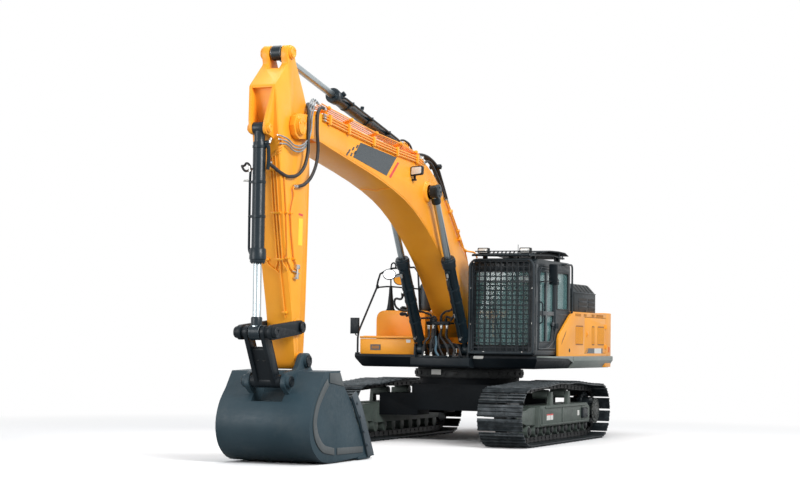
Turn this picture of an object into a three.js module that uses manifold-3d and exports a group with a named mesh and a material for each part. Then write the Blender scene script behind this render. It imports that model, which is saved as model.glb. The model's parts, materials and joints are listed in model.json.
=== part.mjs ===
// Crawler excavator with a long boom, an arm and a digging bucket.
// Millimetres, +Z up. The front of the machine looks along -Y and its left side, with the cab, is +X.
// Every shape is drawn about the swing axis at x = 0, y = 0, with the ground at z = 0, and the
// finished group is then moved along Y so that its bounding box is centred on the origin.

import * as THREE from 'three';
import { mergeVertices } from 'three/addons/utils/BufferGeometryUtils.js';
import Module from 'manifold-3d';

const wasm = await Module();
wasm.setup();

// ---------------------------------------------------------------- driving dimensions

const ORIGIN_SHIFT = 2303.6;           // how far the swing axis stands behind the middle of the machine
const GAP = 0.3;                      // between pieces that touch
const RUNNING = 2;                    // radial clearance of a pin in its bore

const TRACK_CENTRE = 1425;            // half the track gauge
const SHOE_WIDTH = 750;
const SHOE_COUNT = 52;
const SHOE_PLATE = 26;                // thickness of a shoe plate
const GROUSER = 27;                   // height of the bar across a shoe
const LINK_HEIGHT = 84;               // track chain, from the shoe plate to the rail
const LINK_WIDTH = 210;
const WHEEL_Y = 2020;                 // idler in front and sprocket behind, from the swing axis
const LOOP_RADIUS = 458;              // shoe plate round the idler and the sprocket
const WHEEL_Z = LOOP_RADIUS + GROUSER;
const RAIL_RADIUS = LOOP_RADIUS - SHOE_PLATE - LINK_HEIGHT;
const WHEEL_RADIUS = RAIL_RADIUS - 12; // clears the flat links between their corners
const CARRIER_Y = [-450, 500];
const CARRIER_TOP = 1010;             // shoe plate over the carrier rollers

const DECK_BOTTOM = 1240;
const DECK_TOP = 1450;
const DECK_LEFT = 1640;
const DECK_RIGHT = -1590;
const DECK_REAR = 2720;
const TAIL = 3640;
const COWL_TOP = 2220;

// Pins of the working gear, as [y, z]
const BOOM_FOOT = [-500, 1950];
const BOOM_CYLINDER_FOOT = [-1250, 1540];
const BOOM_CYLINDER_EYE = [-2770, 4045];
const ARM_PIVOT = [-7480, 4570];
const ARM_CYLINDER_FOOT = [-3250, 4712];
const ARM_CYLINDER_EYE = [-7620, 5560];
const BUCKET_CYLINDER_FOOT = [-8140, 4480];
const LINK_TOP = [-8145, 1760];
const LINK_BOTTOM = [-7790, 1110];
const ROCKER_PIN = [-7300, 1840];
const BUCKET_PIN = [-7220, 1380];

const BOOM_HALF = 270;
const ARM_HALF = 190;
const BOOM_CYLINDER_X = 400;
const BUCKET_HALF = 700;

// ---------------------------------------------------------------- solids

function toSolid(geometry) {
  const bare = geometry.index ? geometry.toNonIndexed() : geometry.clone();
  bare.deleteAttribute('normal');
  bare.deleteAttribute('uv');
  const merged = mergeVertices(bare, 1e-3);
  return new wasm.Manifold(new wasm.Mesh({
    numProp: 3,
    vertProperties: new Float32Array(merged.attributes.position.array),
    triVerts: new Uint32Array(merged.index.array),
  }));
}

function toGeometry(solid) {
  const mesh = solid.getMesh();
  const geometry = new THREE.BufferGeometry();
  geometry.setAttribute('position', new THREE.BufferAttribute(mesh.vertProperties, 3));
  geometry.setIndex(new THREE.BufferAttribute(mesh.triVerts, 1));
  const faceted = geometry.toNonIndexed();
  faceted.computeVertexNormals();
  return faceted;
}

const join = (...solids) => solids.flat().reduce((whole, solid) => whole.add(solid));
const cut = (solid, ...tools) => tools.flat().reduce((whole, tool) => whole.subtract(tool), solid);
const mirrored = (solid) => solid.mirror([1, 0, 0]);
const bothSides = (solid) => [solid, mirrored(solid)];

function block(x0, x1, y0, y1, z0, z1) {
  const box = new THREE.BoxGeometry(x1 - x0, y1 - y0, z1 - z0);
  box.translate((x0 + x1) / 2, (y0 + y1) / 2, (z0 + z1) / 2);
  return toSolid(box);
}

// A closed outline whose corners [a, b, r] are rounded by r, or by less on a short side.
function outline(points) {
  const shape = new THREE.Shape();
  points.forEach(([a, b, wanted = 0], i) => {
    const corner = new THREE.Vector2(a, b);
    const before = new THREE.Vector2(...points[(i + points.length - 1) % points.length]);
    const after = new THREE.Vector2(...points[(i + 1) % points.length]);
    const r = Math.min(wanted, 0.48 * corner.distanceTo(before), 0.48 * corner.distanceTo(after));
    const from = corner.clone().add(before.sub(corner).setLength(r));
    const to = corner.clone().add(after.sub(corner).setLength(r));
    if (i === 0) shape.moveTo(from.x, from.y);
    else shape.lineTo(from.x, from.y);
    if (r > 0) shape.quadraticCurveTo(corner.x, corner.y, to.x, to.y);
  });
  shape.closePath();
  return shape;
}

function extrude(shape, depth, curveSegments) {
  return new THREE.ExtrudeGeometry(shape, { depth, bevelEnabled: false, curveSegments });
}

// Outlines drawn in the side view (y, z), the plan (x, y) and the front view (x, z).
function sideSolid(shape, x0, x1, curveSegments = 4) {
  const solid = extrude(shape, x1 - x0, curveSegments);
  solid.applyMatrix4(new THREE.Matrix4().set(0, 0, 1, x0, 1, 0, 0, 0, 0, 1, 0, 0, 0, 0, 0, 1));
  return toSolid(solid);
}

function planSolid(shape, z0, z1, curveSegments = 4) {
  const solid = extrude(shape, z1 - z0, curveSegments);
  solid.translate(0, 0, z0);
  return toSolid(solid);
}

function frontSolid(shape, y0, y1, curveSegments = 4) {
  const solid = extrude(shape, y1 - y0, curveSegments);
  solid.applyMatrix4(new THREE.Matrix4().set(1, 0, 0, 0, 0, 0, -1, y1, 0, 1, 0, 0, 0, 0, 0, 1));
  return toSolid(solid);
}

// A round bar from one point to another.
function bar(from, to, radius, sides = 20) {
  const start = new THREE.Vector3(...from);
  const end = new THREE.Vector3(...to);
  const way = end.clone().sub(start);
  const cylinder = new THREE.CylinderGeometry(radius, radius, way.length(), sides);
  const turn = new THREE.Quaternion().setFromUnitVectors(new THREE.Vector3(0, 1, 0), way.clone().normalize());
  cylinder.applyQuaternion(turn);
  cylinder.translate(...start.add(end).multiplyScalar(0.5).toArray());
  return toSolid(cylinder);
}

const crossBar = ([y, z], x0, x1, radius, sides = 16) => bar([x0, y, z], [x1, y, z], radius, sides);

// A tube along a path with rounded bends.
function tube(points, radius, sides = 3) {
  const path = new THREE.CurvePath();
  const corners = points.map((point) => new THREE.Vector3(...point));
  let from = corners[0];
  corners.slice(1).forEach((corner, i) => {
    const after = corners[i + 2];
    if (!after) {
      path.add(new THREE.LineCurve3(from, corner));
      return;
    }
    const reach = Math.min(60, corner.distanceTo(from) / 2, corner.distanceTo(after) / 2);
    const arrive = corner.clone().add(from.clone().sub(corner).setLength(reach));
    const leave = corner.clone().add(after.clone().sub(corner).setLength(reach));
    path.add(new THREE.LineCurve3(from, arrive));
    path.add(new THREE.QuadraticBezierCurve3(arrive, corner, leave));
    from = leave;
  });
  const way = new THREE.CatmullRomCurve3(path.getSpacedPoints(16 * corners.length), false, 'centripetal');
  const section = new THREE.Shape();
  section.absarc(0, 0, radius, 0, 2 * Math.PI, false);
  const geometry = new THREE.ExtrudeGeometry(section, {
    extrudePath: way,
    steps: 3 * corners.length,
    curveSegments: sides,
    bevelEnabled: false,
  });
  return toSolid(geometry);
}

// A link plate round two eyes, in the side view.
function linkShape([y0, z0], r0, [y1, z1], r1) {
  const along = Math.atan2(z1 - z0, y1 - y0);
  const spread = Math.acos((r0 - r1) / Math.hypot(y1 - y0, z1 - z0));
  const shape = new THREE.Shape();
  shape.absarc(y0, z0, r0, along + spread, along - spread + 2 * Math.PI, false);
  shape.absarc(y1, z1, r1, along - spread, along + spread, false);
  shape.closePath();
  return shape;
}

// The point at a distance along the line from one pin towards another.
function along([y0, z0], [y1, z1], distance) {
  const length = Math.hypot(y1 - y0, z1 - z0);
  return [y0 + ((y1 - y0) * distance) / length, z0 + ((z1 - z0) * distance) / length];
}

// ---------------------------------------------------------------- undercarriage

// The line of the shoe plates' outer face: along the ground, round the sprocket, back over the
// carrier rollers, where the chain hangs slack, and round the idler.
function trackPath() {
  const path = new THREE.Path();
  path.moveTo(-WHEEL_Y, GROUSER);
  path.lineTo(WHEEL_Y, GROUSER);
  path.absarc(WHEEL_Y, WHEEL_Z, LOOP_RADIUS, -Math.PI / 2, Math.PI / 2, false);
  const slack = CARRIER_TOP - 12;
  path.splineThru([
    [1350, 962], [CARRIER_Y[1], CARRIER_TOP], [25, slack], [CARRIER_Y[0], CARRIER_TOP], [-1300, 962],
    [-WHEEL_Y, WHEEL_Z + LOOP_RADIUS],
  ].map(([y, z]) => new THREE.Vector2(y, z)));
  path.absarc(-WHEEL_Y, WHEEL_Z, LOOP_RADIUS, Math.PI / 2, 1.5 * Math.PI, false);
  return path;
}

// Points beside the track's line, each given as [fraction of a shoe, height over the plate].
function trackOutline(profile) {
  const fine = 100;
  const line = trackPath().getSpacedPoints(SHOE_COUNT * fine);
  const last = SHOE_COUNT * fine;
  const points = [];
  for (let shoe = 0; shoe < SHOE_COUNT; shoe += 1) {
    profile.forEach(([fraction, height]) => {
      const at = Math.round((shoe + fraction) * fine) % last;
      const way = line[(at + 1) % last].clone().sub(line[(at + last - 1) % last]).normalize();
      points.push(new THREE.Vector2(line[at].x + way.y * height, line[at].y - way.x * height));
    });
  }
  return points;
}

function ring(outer, inner) {
  const shape = new THREE.Shape(outer);
  shape.holes.push(new THREE.Path(inner));
  return shape;
}

function leftTrack() {
  const shoes = ring(
    trackOutline([[0.04, 0], [0.08, GROUSER], [0.2, GROUSER], [0.26, 0], [0.98, -4]]),
    trackOutline([[0, -SHOE_PLATE]]),
  );
  const chain = ring(
    trackOutline([[0, -SHOE_PLATE + 6]]),
    trackOutline([[0, -SHOE_PLATE - LINK_HEIGHT]]),
  );
  return join(
    sideSolid(shoes, TRACK_CENTRE - SHOE_WIDTH / 2, TRACK_CENTRE + SHOE_WIDTH / 2),
    sideSolid(chain, TRACK_CENTRE - LINK_WIDTH / 2, TRACK_CENTRE + LINK_WIDTH / 2),
  );
}

function leftTrackFrame() {
  const beam = sideSolid(outline([
    [-1250, 300], [-1150, 640, 40], [1480, 640, 40], [1650, 560, 60], [1650, 330, 40], [1610, 300],
  ]), TRACK_CENTRE - 225, TRACK_CENTRE + 235);
  const nose = sideSolid(outline([
    [-1650, 330, 30], [-1650, 600, 40], [-1160, 620], [-1160, 320],
  ]), TRACK_CENTRE - 160, TRACK_CENTRE + 160);
  const yoke = bothArms(-2110, -1640, 420, 550, 150, 190);
  const drive = bothArms(1620, 1860, 400, 560, 150, 190);
  const railBottom = GROUSER + SHOE_PLATE + LINK_HEIGHT;
  const rollers = [];
  for (let i = 0; i < 9; i += 1) {
    const y = -1560 + i * 388;
    const z = railBottom + 98 + 3;
    rollers.push(bar([TRACK_CENTRE - 185, y, z], [TRACK_CENTRE + 185, y, z], 98, 12));
    if (y > -1250 && y < 1640) {
      rollers.push(block(TRACK_CENTRE - 185, TRACK_CENTRE + 185, y - 60, y + 60, z, 310));
    } else {
      rollers.push(block(TRACK_CENTRE - 130, TRACK_CENTRE + 130, y - 60, y + 60, z, 345));
    }
  }
  const carriers = CARRIER_Y.map((y) => {
    const z = CARRIER_TOP - SHOE_PLATE - LINK_HEIGHT - 78 - 6;
    return join(
      bar([TRACK_CENTRE - 110, y, z], [TRACK_CENTRE + 150, y, z], 78, 12),
      block(TRACK_CENTRE + 145, TRACK_CENTRE + 195, y - 50, y + 50, 630, z + 40),
    );
  });
  return join(beam, nose, yoke, drive, rollers, carriers);
}

// Two arms beside a wheel's hub, from the middle of the track.
function bothArms(y0, y1, z0, z1, inside, outside) {
  return [
    block(TRACK_CENTRE + inside, TRACK_CENTRE + outside, y0, y1, z0, z1),
    block(TRACK_CENTRE - outside, TRACK_CENTRE - inside, y0, y1, z0, z1),
    block(
      TRACK_CENTRE - outside, TRACK_CENTRE + outside,
      y0 > 0 ? y0 : y1 - 30, y0 > 0 ? y0 + 30 : y1, z0, z1,
    ),
  ];
}

// A wheel turned about an axle along X, from a half profile of [distance from the middle, radius].
function wheel(profile, y, z, sides = 24) {
  const lathe = new THREE.LatheGeometry(profile.map(([x, r]) => new THREE.Vector2(r, x)), sides);
  lathe.rotateZ(-Math.PI / 2);
  lathe.translate(TRACK_CENTRE, y, z);
  return toSolid(lathe);
}

function leftIdler() {
  const rim = WHEEL_RADIUS;
  return wheel([
    [-140, 0], [-140, 70], [-95, 80], [-95, rim - 90], [-95, rim - 20], [-55, rim], [55, rim], [95, rim - 20],
    [95, rim - 90], [95, 80], [140, 70], [140, 0],
  ], -WHEEL_Y, WHEEL_Z);
}

function leftSprocket() {
  const teeth = 21;
  const tip = WHEEL_RADIUS;
  const toothed = new THREE.Shape();
  for (let i = 0; i < teeth * 4; i += 1) {
    const angle = (i / (teeth * 4)) * 2 * Math.PI;
    const radius = i % 4 < 2 ? tip : tip - 42;
    const point = [WHEEL_Y + radius * Math.cos(angle), WHEEL_Z + radius * Math.sin(angle)];
    if (i === 0) toothed.moveTo(...point);
    else toothed.lineTo(...point);
  }
  toothed.closePath();
  return join(
    sideSolid(toothed, TRACK_CENTRE - 38, TRACK_CENTRE + 38),
    wheel([[-145, 0], [-145, 265], [40, 265], [120, 225], [145, 225], [145, 0]], WHEEL_Y, WHEEL_Z),
    wheel([[140, 0], [140, 140], [225, 135], [240, 120], [240, 0]], WHEEL_Y, WHEEL_Z, 24),
  );
}

function carBody() {
  const middle = planSolid(outline([
    [-700, -900, 60], [700, -900, 60], [820, -600], [820, 600], [700, 900, 60], [-700, 900, 60],
    [-820, 600], [-820, -600],
  ]), 520, 960);
  const inner = TRACK_CENTRE - 225 - GAP;
  const leg = (y0, y1, y2, y3) => (
    planSolid(outline([[600, y0], [inner, y2], [inner, y3], [600, y1]]), 430, 800));
  const legs = [leg(-900, -350, -1120, -560), leg(350, 900, 560, 1120)];
  const pedestal = bar([0, 0, 950], [0, 0, 1060], 860, 40);
  return join(middle, legs, legs.map(mirrored), pedestal);
}

function swingBearing() {
  const profile = [[0, 0], [860, 0], [860, 16], [930, 16], [930, 150], [890, 150], [890, 172], [0, 172]];
  const lathe = new THREE.LatheGeometry(profile.map(([r, z]) => new THREE.Vector2(r, z)), 40);
  lathe.rotateX(Math.PI / 2);
  lathe.translate(0, 0, 1060 + GAP);
  return toSolid(lathe);
}

// ---------------------------------------------------------------- upper structure

function platform() {
  const skirts = frontSolid(outline([
    [DECK_RIGHT, DECK_TOP], [DECK_RIGHT, DECK_TOP - 70], [DECK_RIGHT + 85, DECK_BOTTOM, 30],
    [DECK_LEFT - 85, DECK_BOTTOM, 30], [DECK_LEFT, DECK_TOP - 70], [DECK_LEFT, DECK_TOP],
  ]), -1300, DECK_REAR);
  const bow = sideSolid(outline([
    [-1300, DECK_TOP], [-1300, DECK_TOP - 40], [-1150, DECK_BOTTOM, 40], [DECK_REAR, DECK_BOTTOM],
    [DECK_REAR, DECK_TOP],
  ]), DECK_RIGHT, DECK_LEFT);
  const nose = sideSolid(outline([
    [-1430, 1265, 30], [-1430, 1410, 20], [-1200, 1410], [-850, 1300], [-850, 1245], [-1340, 1245],
  ]), -520, 520);
  const boomEar = sideSolid(outline([
    [-930, DECK_TOP - 10], [BOOM_FOOT[0] - 250, 1740, 60], [BOOM_FOOT[0] - 190, BOOM_FOOT[1] + 200, 120],
    [BOOM_FOOT[0] + 190, BOOM_FOOT[1] + 200, 120], [BOOM_FOOT[0] + 330, 1700, 80], [420, DECK_TOP - 10],
  ]), 335, 425);
  const [footY, footZ] = BOOM_CYLINDER_FOOT;
  const footEar = sideSolid(outline([
    [footY - 130, 1390], [footY - 95, footZ + 100, 60], [footY + 95, footZ + 100, 60], [footY + 200, 1390],
  ]), BOOM_CYLINDER_X + 58, BOOM_CYLINDER_X + 88);
  const innerEar = footEar.translate([-146, 0, 0]);
  const footPin = crossBar(BOOM_CYLINDER_FOOT, BOOM_CYLINDER_X - 96, BOOM_CYLINDER_X + 96, 48);
  return join(
    skirts.intersect(bow), nose, bothSides(boomEar), bothSides(footEar), bothSides(innerEar),
    bothSides(footPin),
    crossBar(BOOM_FOOT, -440, 440, 70),
  );
}

function counterweight() {
  const plan = planSolid(outline([
    [-1625, DECK_REAR + GAP], [1625, DECK_REAR + GAP], [1625, 3200, 150], [1200, 3530, 260], [300, TAIL],
    [-300, TAIL],
    [-1200, 3530, 260], [-1625, 3200, 150],
  ]), 1240, 2240);
  const side = sideSolid(outline([
    [DECK_REAR, 1250], [3250, 1250], [TAIL, 1420, 120], [TAIL, 2060, 140], [TAIL - 120, 2235, 120],
    [DECK_REAR, 2235],
  ]), -1700, 1700);
  return plan.intersect(side);
}

function engineBlock() {
  return block(-480, 620, 1450, 2600, DECK_TOP + GAP, 2060);
}

const COWL_FRONT = 690;
const COWL_SIDE = 1650;
const COWL_DOOR_FRONT = 1360;
const COWL_DOOR_REAR = 2680;

// The sheet metal over the engine bay: open below, over the engine and at both side doors, with a
// front wing on the left that laps past the cab's rear corner.
function rearCowl() {
  const shell = cut(
    block(-COWL_SIDE, COWL_SIDE, COWL_FRONT, DECK_REAR - 4, DECK_TOP + GAP, COWL_TOP),
    block(-COWL_SIDE + 45, COWL_SIDE - 45, COWL_FRONT + 40, DECK_REAR - 44, DECK_TOP - 10, COWL_TOP - 40),
    block(-870, 1400, 1410, 2650, COWL_TOP - 60, COWL_TOP + 10),
    block(COWL_SIDE - 60, COWL_SIDE + 10, COWL_DOOR_FRONT - 8, COWL_DOOR_REAR + 8, 1500, 2140),
    block(-COWL_SIDE - 10, -COWL_SIDE + 60, COWL_DOOR_FRONT - 8, COWL_DOOR_REAR + 8, 1500, 2140),
  );
  const wing = sideSolid(outline([
    [COWL_FRONT + 20, DECK_TOP + GAP], [-150, DECK_TOP + GAP], [-150, 1790, 90], [560, 2180, 120],
    [COWL_FRONT + 20, COWL_TOP],
  ]), COWL_SIDE - 40, COWL_SIDE);
  return join(shell, wing);
}

function sideDoor() {
  const panel = block(COWL_SIDE - 40, COWL_SIDE - 2, COWL_DOOR_FRONT, COWL_DOOR_REAR, 1508, 2132);
  const rib = block(COWL_SIDE - 62, COWL_SIDE - 36, COWL_DOOR_FRONT + 60, COWL_DOOR_REAR - 60, 1600, 2040);
  const knuckles = [1620, 1980].map((z) => join(
    bar([COWL_SIDE + 14, COWL_DOOR_REAR - 20, z - 40], [COWL_SIDE + 14, COWL_DOOR_REAR - 20, z + 40], 14, 12),
    block(COWL_SIDE - 10, COWL_SIDE + 14, COWL_DOOR_REAR - 60, COWL_DOOR_REAR - 20, z - 40, z + 40),
  ));
  return join(panel, rib, knuckles);
}

function engineHood() {
  const peak = 2745;
  const outer = frontSolid(outline([
    [-900, COWL_TOP + 8], [1450, COWL_TOP + 8], [1450, 2570, 30], [1290, peak, 60], [-720, peak, 60],
    [-900, 2570, 30],
  ]), 1380, 2680);
  const inner = frontSolid(outline([
    [-870, COWL_TOP - 10], [1420, COWL_TOP - 10], [1420, 2555], [1275, peak - 35], [-705, peak - 35],
    [-870, 2555],
  ]), 1410, 2650);
  return cut(outer, inner);
}

function fuelTank() {
  return frontSolid(outline([
    [-1515, DECK_TOP + GAP], [-600, DECK_TOP + GAP], [-600, 2200, 60], [-1515, 2200, 170],
  ]), -570, 650, 8);
}

const BOX_FRONT = -1240;
const BOX_REAR = -620;

function toolBox() {
  return cut(
    block(-1520, -530, BOX_FRONT, BOX_REAR, DECK_TOP + GAP, 1710),
    block(-1490, -560, BOX_FRONT + 30, BOX_REAR - 30, DECK_TOP + 30, 1720),
  );
}

function toolBoxLid() {
  return join(
    block(-1523, -527, BOX_FRONT - 6, BOX_REAR - 10, 1716, 1750),
    block(-1475, -575, BOX_FRONT + 40, BOX_REAR - 60, 1748, 1758),
    bar([-1475, BOX_REAR - 6, 1740], [-575, BOX_REAR - 6, 1740], 12, 12),
  );
}

function handrails() {
  const hoop = tube([
    [-1552, -1268, DECK_TOP + GAP], [-1552, -1268, 1800], [-1548, -460, 2618], [-1530, -450, 2825],
    [-1310, -450, 2930],
    [-800, -450, 2950], [-772, -450, 2540], [-755, -450, 2203],
  ], 17);
  const rail = tube([[-1546, -460, 2600], [-1350, -450, 2618], [-780, -450, 2575]], 15);
  const foot = block(-1580, -1524, -1296, -1246, DECK_TOP + GAP, 1462);
  return join(hoop, rail, foot);
}

function rightMirror() {
  return join(
    planSolid(outline([
      [-1665, -1345, 20], [-1505, -1345, 20], [-1505, -1300, 15], [-1665, -1300, 15],
    ]), 1790, 2060),
    tube([[-1590, -1310, 1830], [-1590, -1275, 1775], [-1572, -1262, 1760]], 11),
  );
}

// ---------------------------------------------------------------- cab

const CAB = {
  inside: 505, outside: 1600, front: -1280, rear: 640, bottom: DECK_TOP + 25, top: 3050, wall: 50,
};
const DOOR = { front: -1120, rear: -210, bottom: 1560, top: 2930 };

function cabProfile(inset, bottom) {
  return outline([
    [CAB.front + inset, bottom], [CAB.front + inset, CAB.top - inset, 170 - inset],
    [CAB.rear - inset, CAB.top - inset, 120 - inset], [CAB.rear - inset, bottom],
  ]);
}

function cabShell() {
  const { inside, outside, wall } = CAB;
  return cut(
    sideSolid(cabProfile(0, CAB.bottom), inside, outside),
    sideSolid(cabProfile(wall, CAB.bottom - 10), inside + wall, outside - wall),
    frontSolid(outline([[570, 1620, 50], [1500, 1620, 50], [1500, 2850, 60], [570, 2850, 60]]), -1340, -1200),
    frontSolid(outline([[620, 2240, 50], [1450, 2240, 50], [1450, 2860, 60], [620, 2860, 60]]), 560, 700),
    sideSolid(outline([
      [-1130, 1760, 60], [-1130, 2880, 90], [480, 2880, 60], [480, 1900, 60], [-300, 1760],
    ]), 400, 560),
    sideSolid(outline([[-100, 2240, 50], [-100, 2870, 60], [520, 2870, 60], [520, 2240, 50]]), 1500, 1700),
    sideSolid(outline([
      [DOOR.front - 6, DOOR.bottom - 6], [DOOR.front - 6, DOOR.top + 6, 130],
      [DOOR.rear + 6, DOOR.top + 6, 40],
      [DOOR.rear + 6, DOOR.bottom - 6],
    ]), 1500, 1700),
  );
}

function cabFloor() {
  const { inside, outside, wall, front, rear, bottom } = CAB;
  const gap = wall + GAP;
  return join(
    block(inside + gap, outside - gap, front + gap, rear - gap, bottom, bottom + 45),
    block(inside + 40, outside - 40, front + 60, rear - 60, DECK_TOP + GAP, bottom - GAP),
    block(inside + gap, outside - gap, front + gap, rear - gap, bottom - 5, bottom + 5),
  );
}

// A pane in the middle of a wall.
const sidePane = (shape, x) => sideSolid(shape, x, x + 6);
const endPane = (shape, y) => frontSolid(shape, y, y + 6);

const WINDSCREEN = [[571, 1621, 50], [1499, 1621, 50], [1499, 2849, 60], [571, 2849, 60]];
const REAR_WINDOW = [[621, 2241, 50], [1449, 2241, 50], [1449, 2859, 60], [621, 2859, 60]];
const RIGHT_WINDOW = [[-1129, 1761, 60], [-1129, 2879, 90], [479, 2879, 60], [479, 1901, 60], [-300, 1761]];
const QUARTER_WINDOW = [[-99, 2241, 50], [-99, 2869, 60], [519, 2869, 60], [519, 2241, 50]];
const DOOR_WINDOW = [
  [-1050, 1680, 70], [-1050, 2860, 110], [-290, 2860, 50], [-290, 2050, 60], [-450, 1680, 90],
];

function grown(points, by) {
  const middle = points.reduce(([a, b], [x, y]) => [a + x / points.length, b + y / points.length], [0, 0]);
  return points.map(([x, y, r]) => [x + Math.sign(x - middle[0]) * by, y + Math.sign(y - middle[1]) * by, r]);
}

function cabDoor() {
  const panel = sideSolid(outline([
    [DOOR.front, DOOR.bottom], [DOOR.front, DOOR.top, 128], [DOOR.rear, DOOR.top, 38],
    [DOOR.rear, DOOR.bottom],
  ]), CAB.outside - 47, CAB.outside);
  const pin = [CAB.outside + 45, DOOR.rear + 25];
  const knuckles = [1960, 2700].map((z) => join(
    bar([...pin, z - 45], [...pin, z + 45], 15, 10),
    block(CAB.outside - 10, pin[0], DOOR.rear - 50, DOOR.rear - 5, z - 40, z + 40),
    block(pin[0] - 15, pin[0], DOOR.rear - 50, pin[1], z - 40, z + 40),
  ));
  return join(cut(panel, sideSolid(outline(grown(DOOR_WINDOW, 1)), 1500, 1700)), knuckles);
}

function cabGuard() {
  const frame = cut(
    frontSolid(outline([
      [502, 1490, 30], [1622, 1490, 30], [1622, 2960], [1555, 3040], [570, 3040], [502, 2960],
    ]), -1400, -1352),
    frontSolid(outline([
      [542, 1535], [1577, 1535], [1577, 2945], [1538, 2990], [586, 2990], [542, 2945],
    ]), -1420, -1330),
  );
  const rails = [1900, 2280, 2660].map((z) => block(530, 1590, -1392, -1374, z - 8, z + 8));
  const posts = [774, 1042, 1310].map((x) => block(x - 8, x + 8, -1384, -1364, 1530, 2990));
  const feet = [[545, 1575], [1560, 1575], [545, 2790], [1560, 2790]];
  const standoffs = feet.map(([x, z]) => block(x - 28, x + 28, -1360, CAB.front - GAP, z - 25, z + 25));
  const brackets = feet.map(([x, z]) => (
    block(x - 33, x + 33, -1390, -1352, z - 45, z + 25)));
  return join(frame, rails, posts, standoffs, brackets);
}

function roofVisor() {
  const plate = sideSolid(outline([
    [-1470, 3085], [-1440, 3120], [-200, 3165], [430, 3135], [430, 3110], [-200, 3135], [-1430, 3085],
  ]), 560, 1560);
  const feet = [-1000, 300].flatMap((y) => [600, 1450].map((x) => (
    block(x, x + 60, y - 40, y + 40, CAB.top + GAP, 3140))));
  const lamps = [[660, 840], [1385, 1565]].map(([x0, x1]) => join(
    block(x0, x1, -1440, -1370, 3135, 3215),
    block((x0 + x1) / 2 - 20, (x0 + x1) / 2 + 20, -1425, -1385, 3100, 3140),
  ));
  return join(plate, feet, lamps);
}

function seatFrame() {
  const base = block(820, 1180, -420, 40, CAB.bottom + 45 + GAP, 1850);
  const shelf = block(640, 1360, -300, -60, 1780, 1835);
  const console = [[630, 740], [1260, 1370]].map(([x0, x1]) => join(
    block(x0, x1, -520, 40, 1790, 2090),
    bar([(x0 + x1) / 2, -470, 2080], [(x0 + x1) / 2, -480, 2260], 16, 10),
    bar([(x0 + x1) / 2, -480, 2220], [(x0 + x1) / 2, -483, 2320], 26, 10),
  ));
  return join(base, shelf, console);
}

function seatCushion() {
  return planSolid(outline([
    [760, -520, 60], [1240, -520, 60], [1240, 0, 60], [760, 0, 60],
  ]), 1850 + GAP, 1980);
}

function seatBack() {
  return sideSolid(outline([[20, 1990, 30], [90, 2680, 60], [210, 2680, 60], [150, 1960, 30]]), 770, 1230);
}

// ---------------------------------------------------------------- working gear

function boom() {
  const side = new THREE.Shape();
  const [fy, fz] = BOOM_FOOT;
  const [ay, az] = ARM_PIVOT;
  const through = (points) => side.splineThru(points.map(([y, z]) => new THREE.Vector2(y, z)));
  side.moveTo(fy + 190, fz + 70);
  through([
    [-440, 2260], [-690, 2700], [-870, 3000], [-1170, 3290], [-1790, 3850], [-2240, 4210],
    [-2830, 4480], [-3300, 4570], [-4060, 4600], [-5400, 4690], [-6960, 4840],
  ]);
  side.lineTo(-6985, 4765);
  side.lineTo(ay, az + 175);
  side.absarc(ay, az, 175, Math.PI / 2, 1.5 * Math.PI, false);
  through([
    [-7128, 4435], [-6900, 4440], [-6130, 4310], [-4740, 4090], [-3730, 3860], [-3050, 3600],
    [-2430, 3270], [-1850, 2870], [-1380, 2440], [-1000, 2070], [fy - 150, fz - 140],
  ]);
  side.absarc(fy, fz, 205, -2.39, 0.35, false);
  side.closePath();
  const box = sideSolid(side, -BOOM_HALF, BOOM_HALF, 2);
  const fork = sideSolid(outline([
    [-7900, 4000], [-6770, 4000], [-6770, 4440], [-6850, 4560], [-6600, 4690], [-6560, 5200], [-7900, 5200],
  ]), -ARM_HALF - 8, ARM_HALF + 8);
  const cylinderEar = sideSolid(linkShape(ARM_CYLINDER_FOOT, 92, [-3270, 4450], 190), 80, 118);
  const boss = [crossBar(BOOM_CYLINDER_EYE, -320, 320, 115), crossBar(BOOM_CYLINDER_EYE, -343, 343, 48)];
  const footTube = crossBar(BOOM_FOOT, -325, 325, 195, 28);
  return join(
    cut(join(cut(box, fork), footTube), crossBar(BOOM_FOOT, -400, 400, 70 + RUNNING)),
    bothSides(cylinderEar), boss, crossBar(ARM_CYLINDER_FOOT, -132, 132, 45),
    crossBar(ARM_PIVOT, -300, 300, 70), bothSides(crossBar(ARM_PIVOT, BOOM_HALF - 5, BOOM_HALF + 30, 130)),
  );
}

// A plate that stands on the arm's front beside the bucket cylinder's foot and spreads towards the top.
function gusset() {
  const [footY, footZ] = BUCKET_CYLINDER_FOOT;
  const spread = frontSolid(outline([
    [80, 4350], [80, footZ], [150, 5050], [190, 5050], [122, footZ], [122, 4350],
  ]), -8400, -7850);
  return sideSolid(outline([
    [-8098, 5050], [footY - 88, footZ + 60, 60], [footY - 70, footZ - 84, 70], [footY + 60, footZ - 84, 60],
    [-7930, 4330], [-7930, 5050],
  ]), 0, 200).intersect(spread);
}

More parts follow.
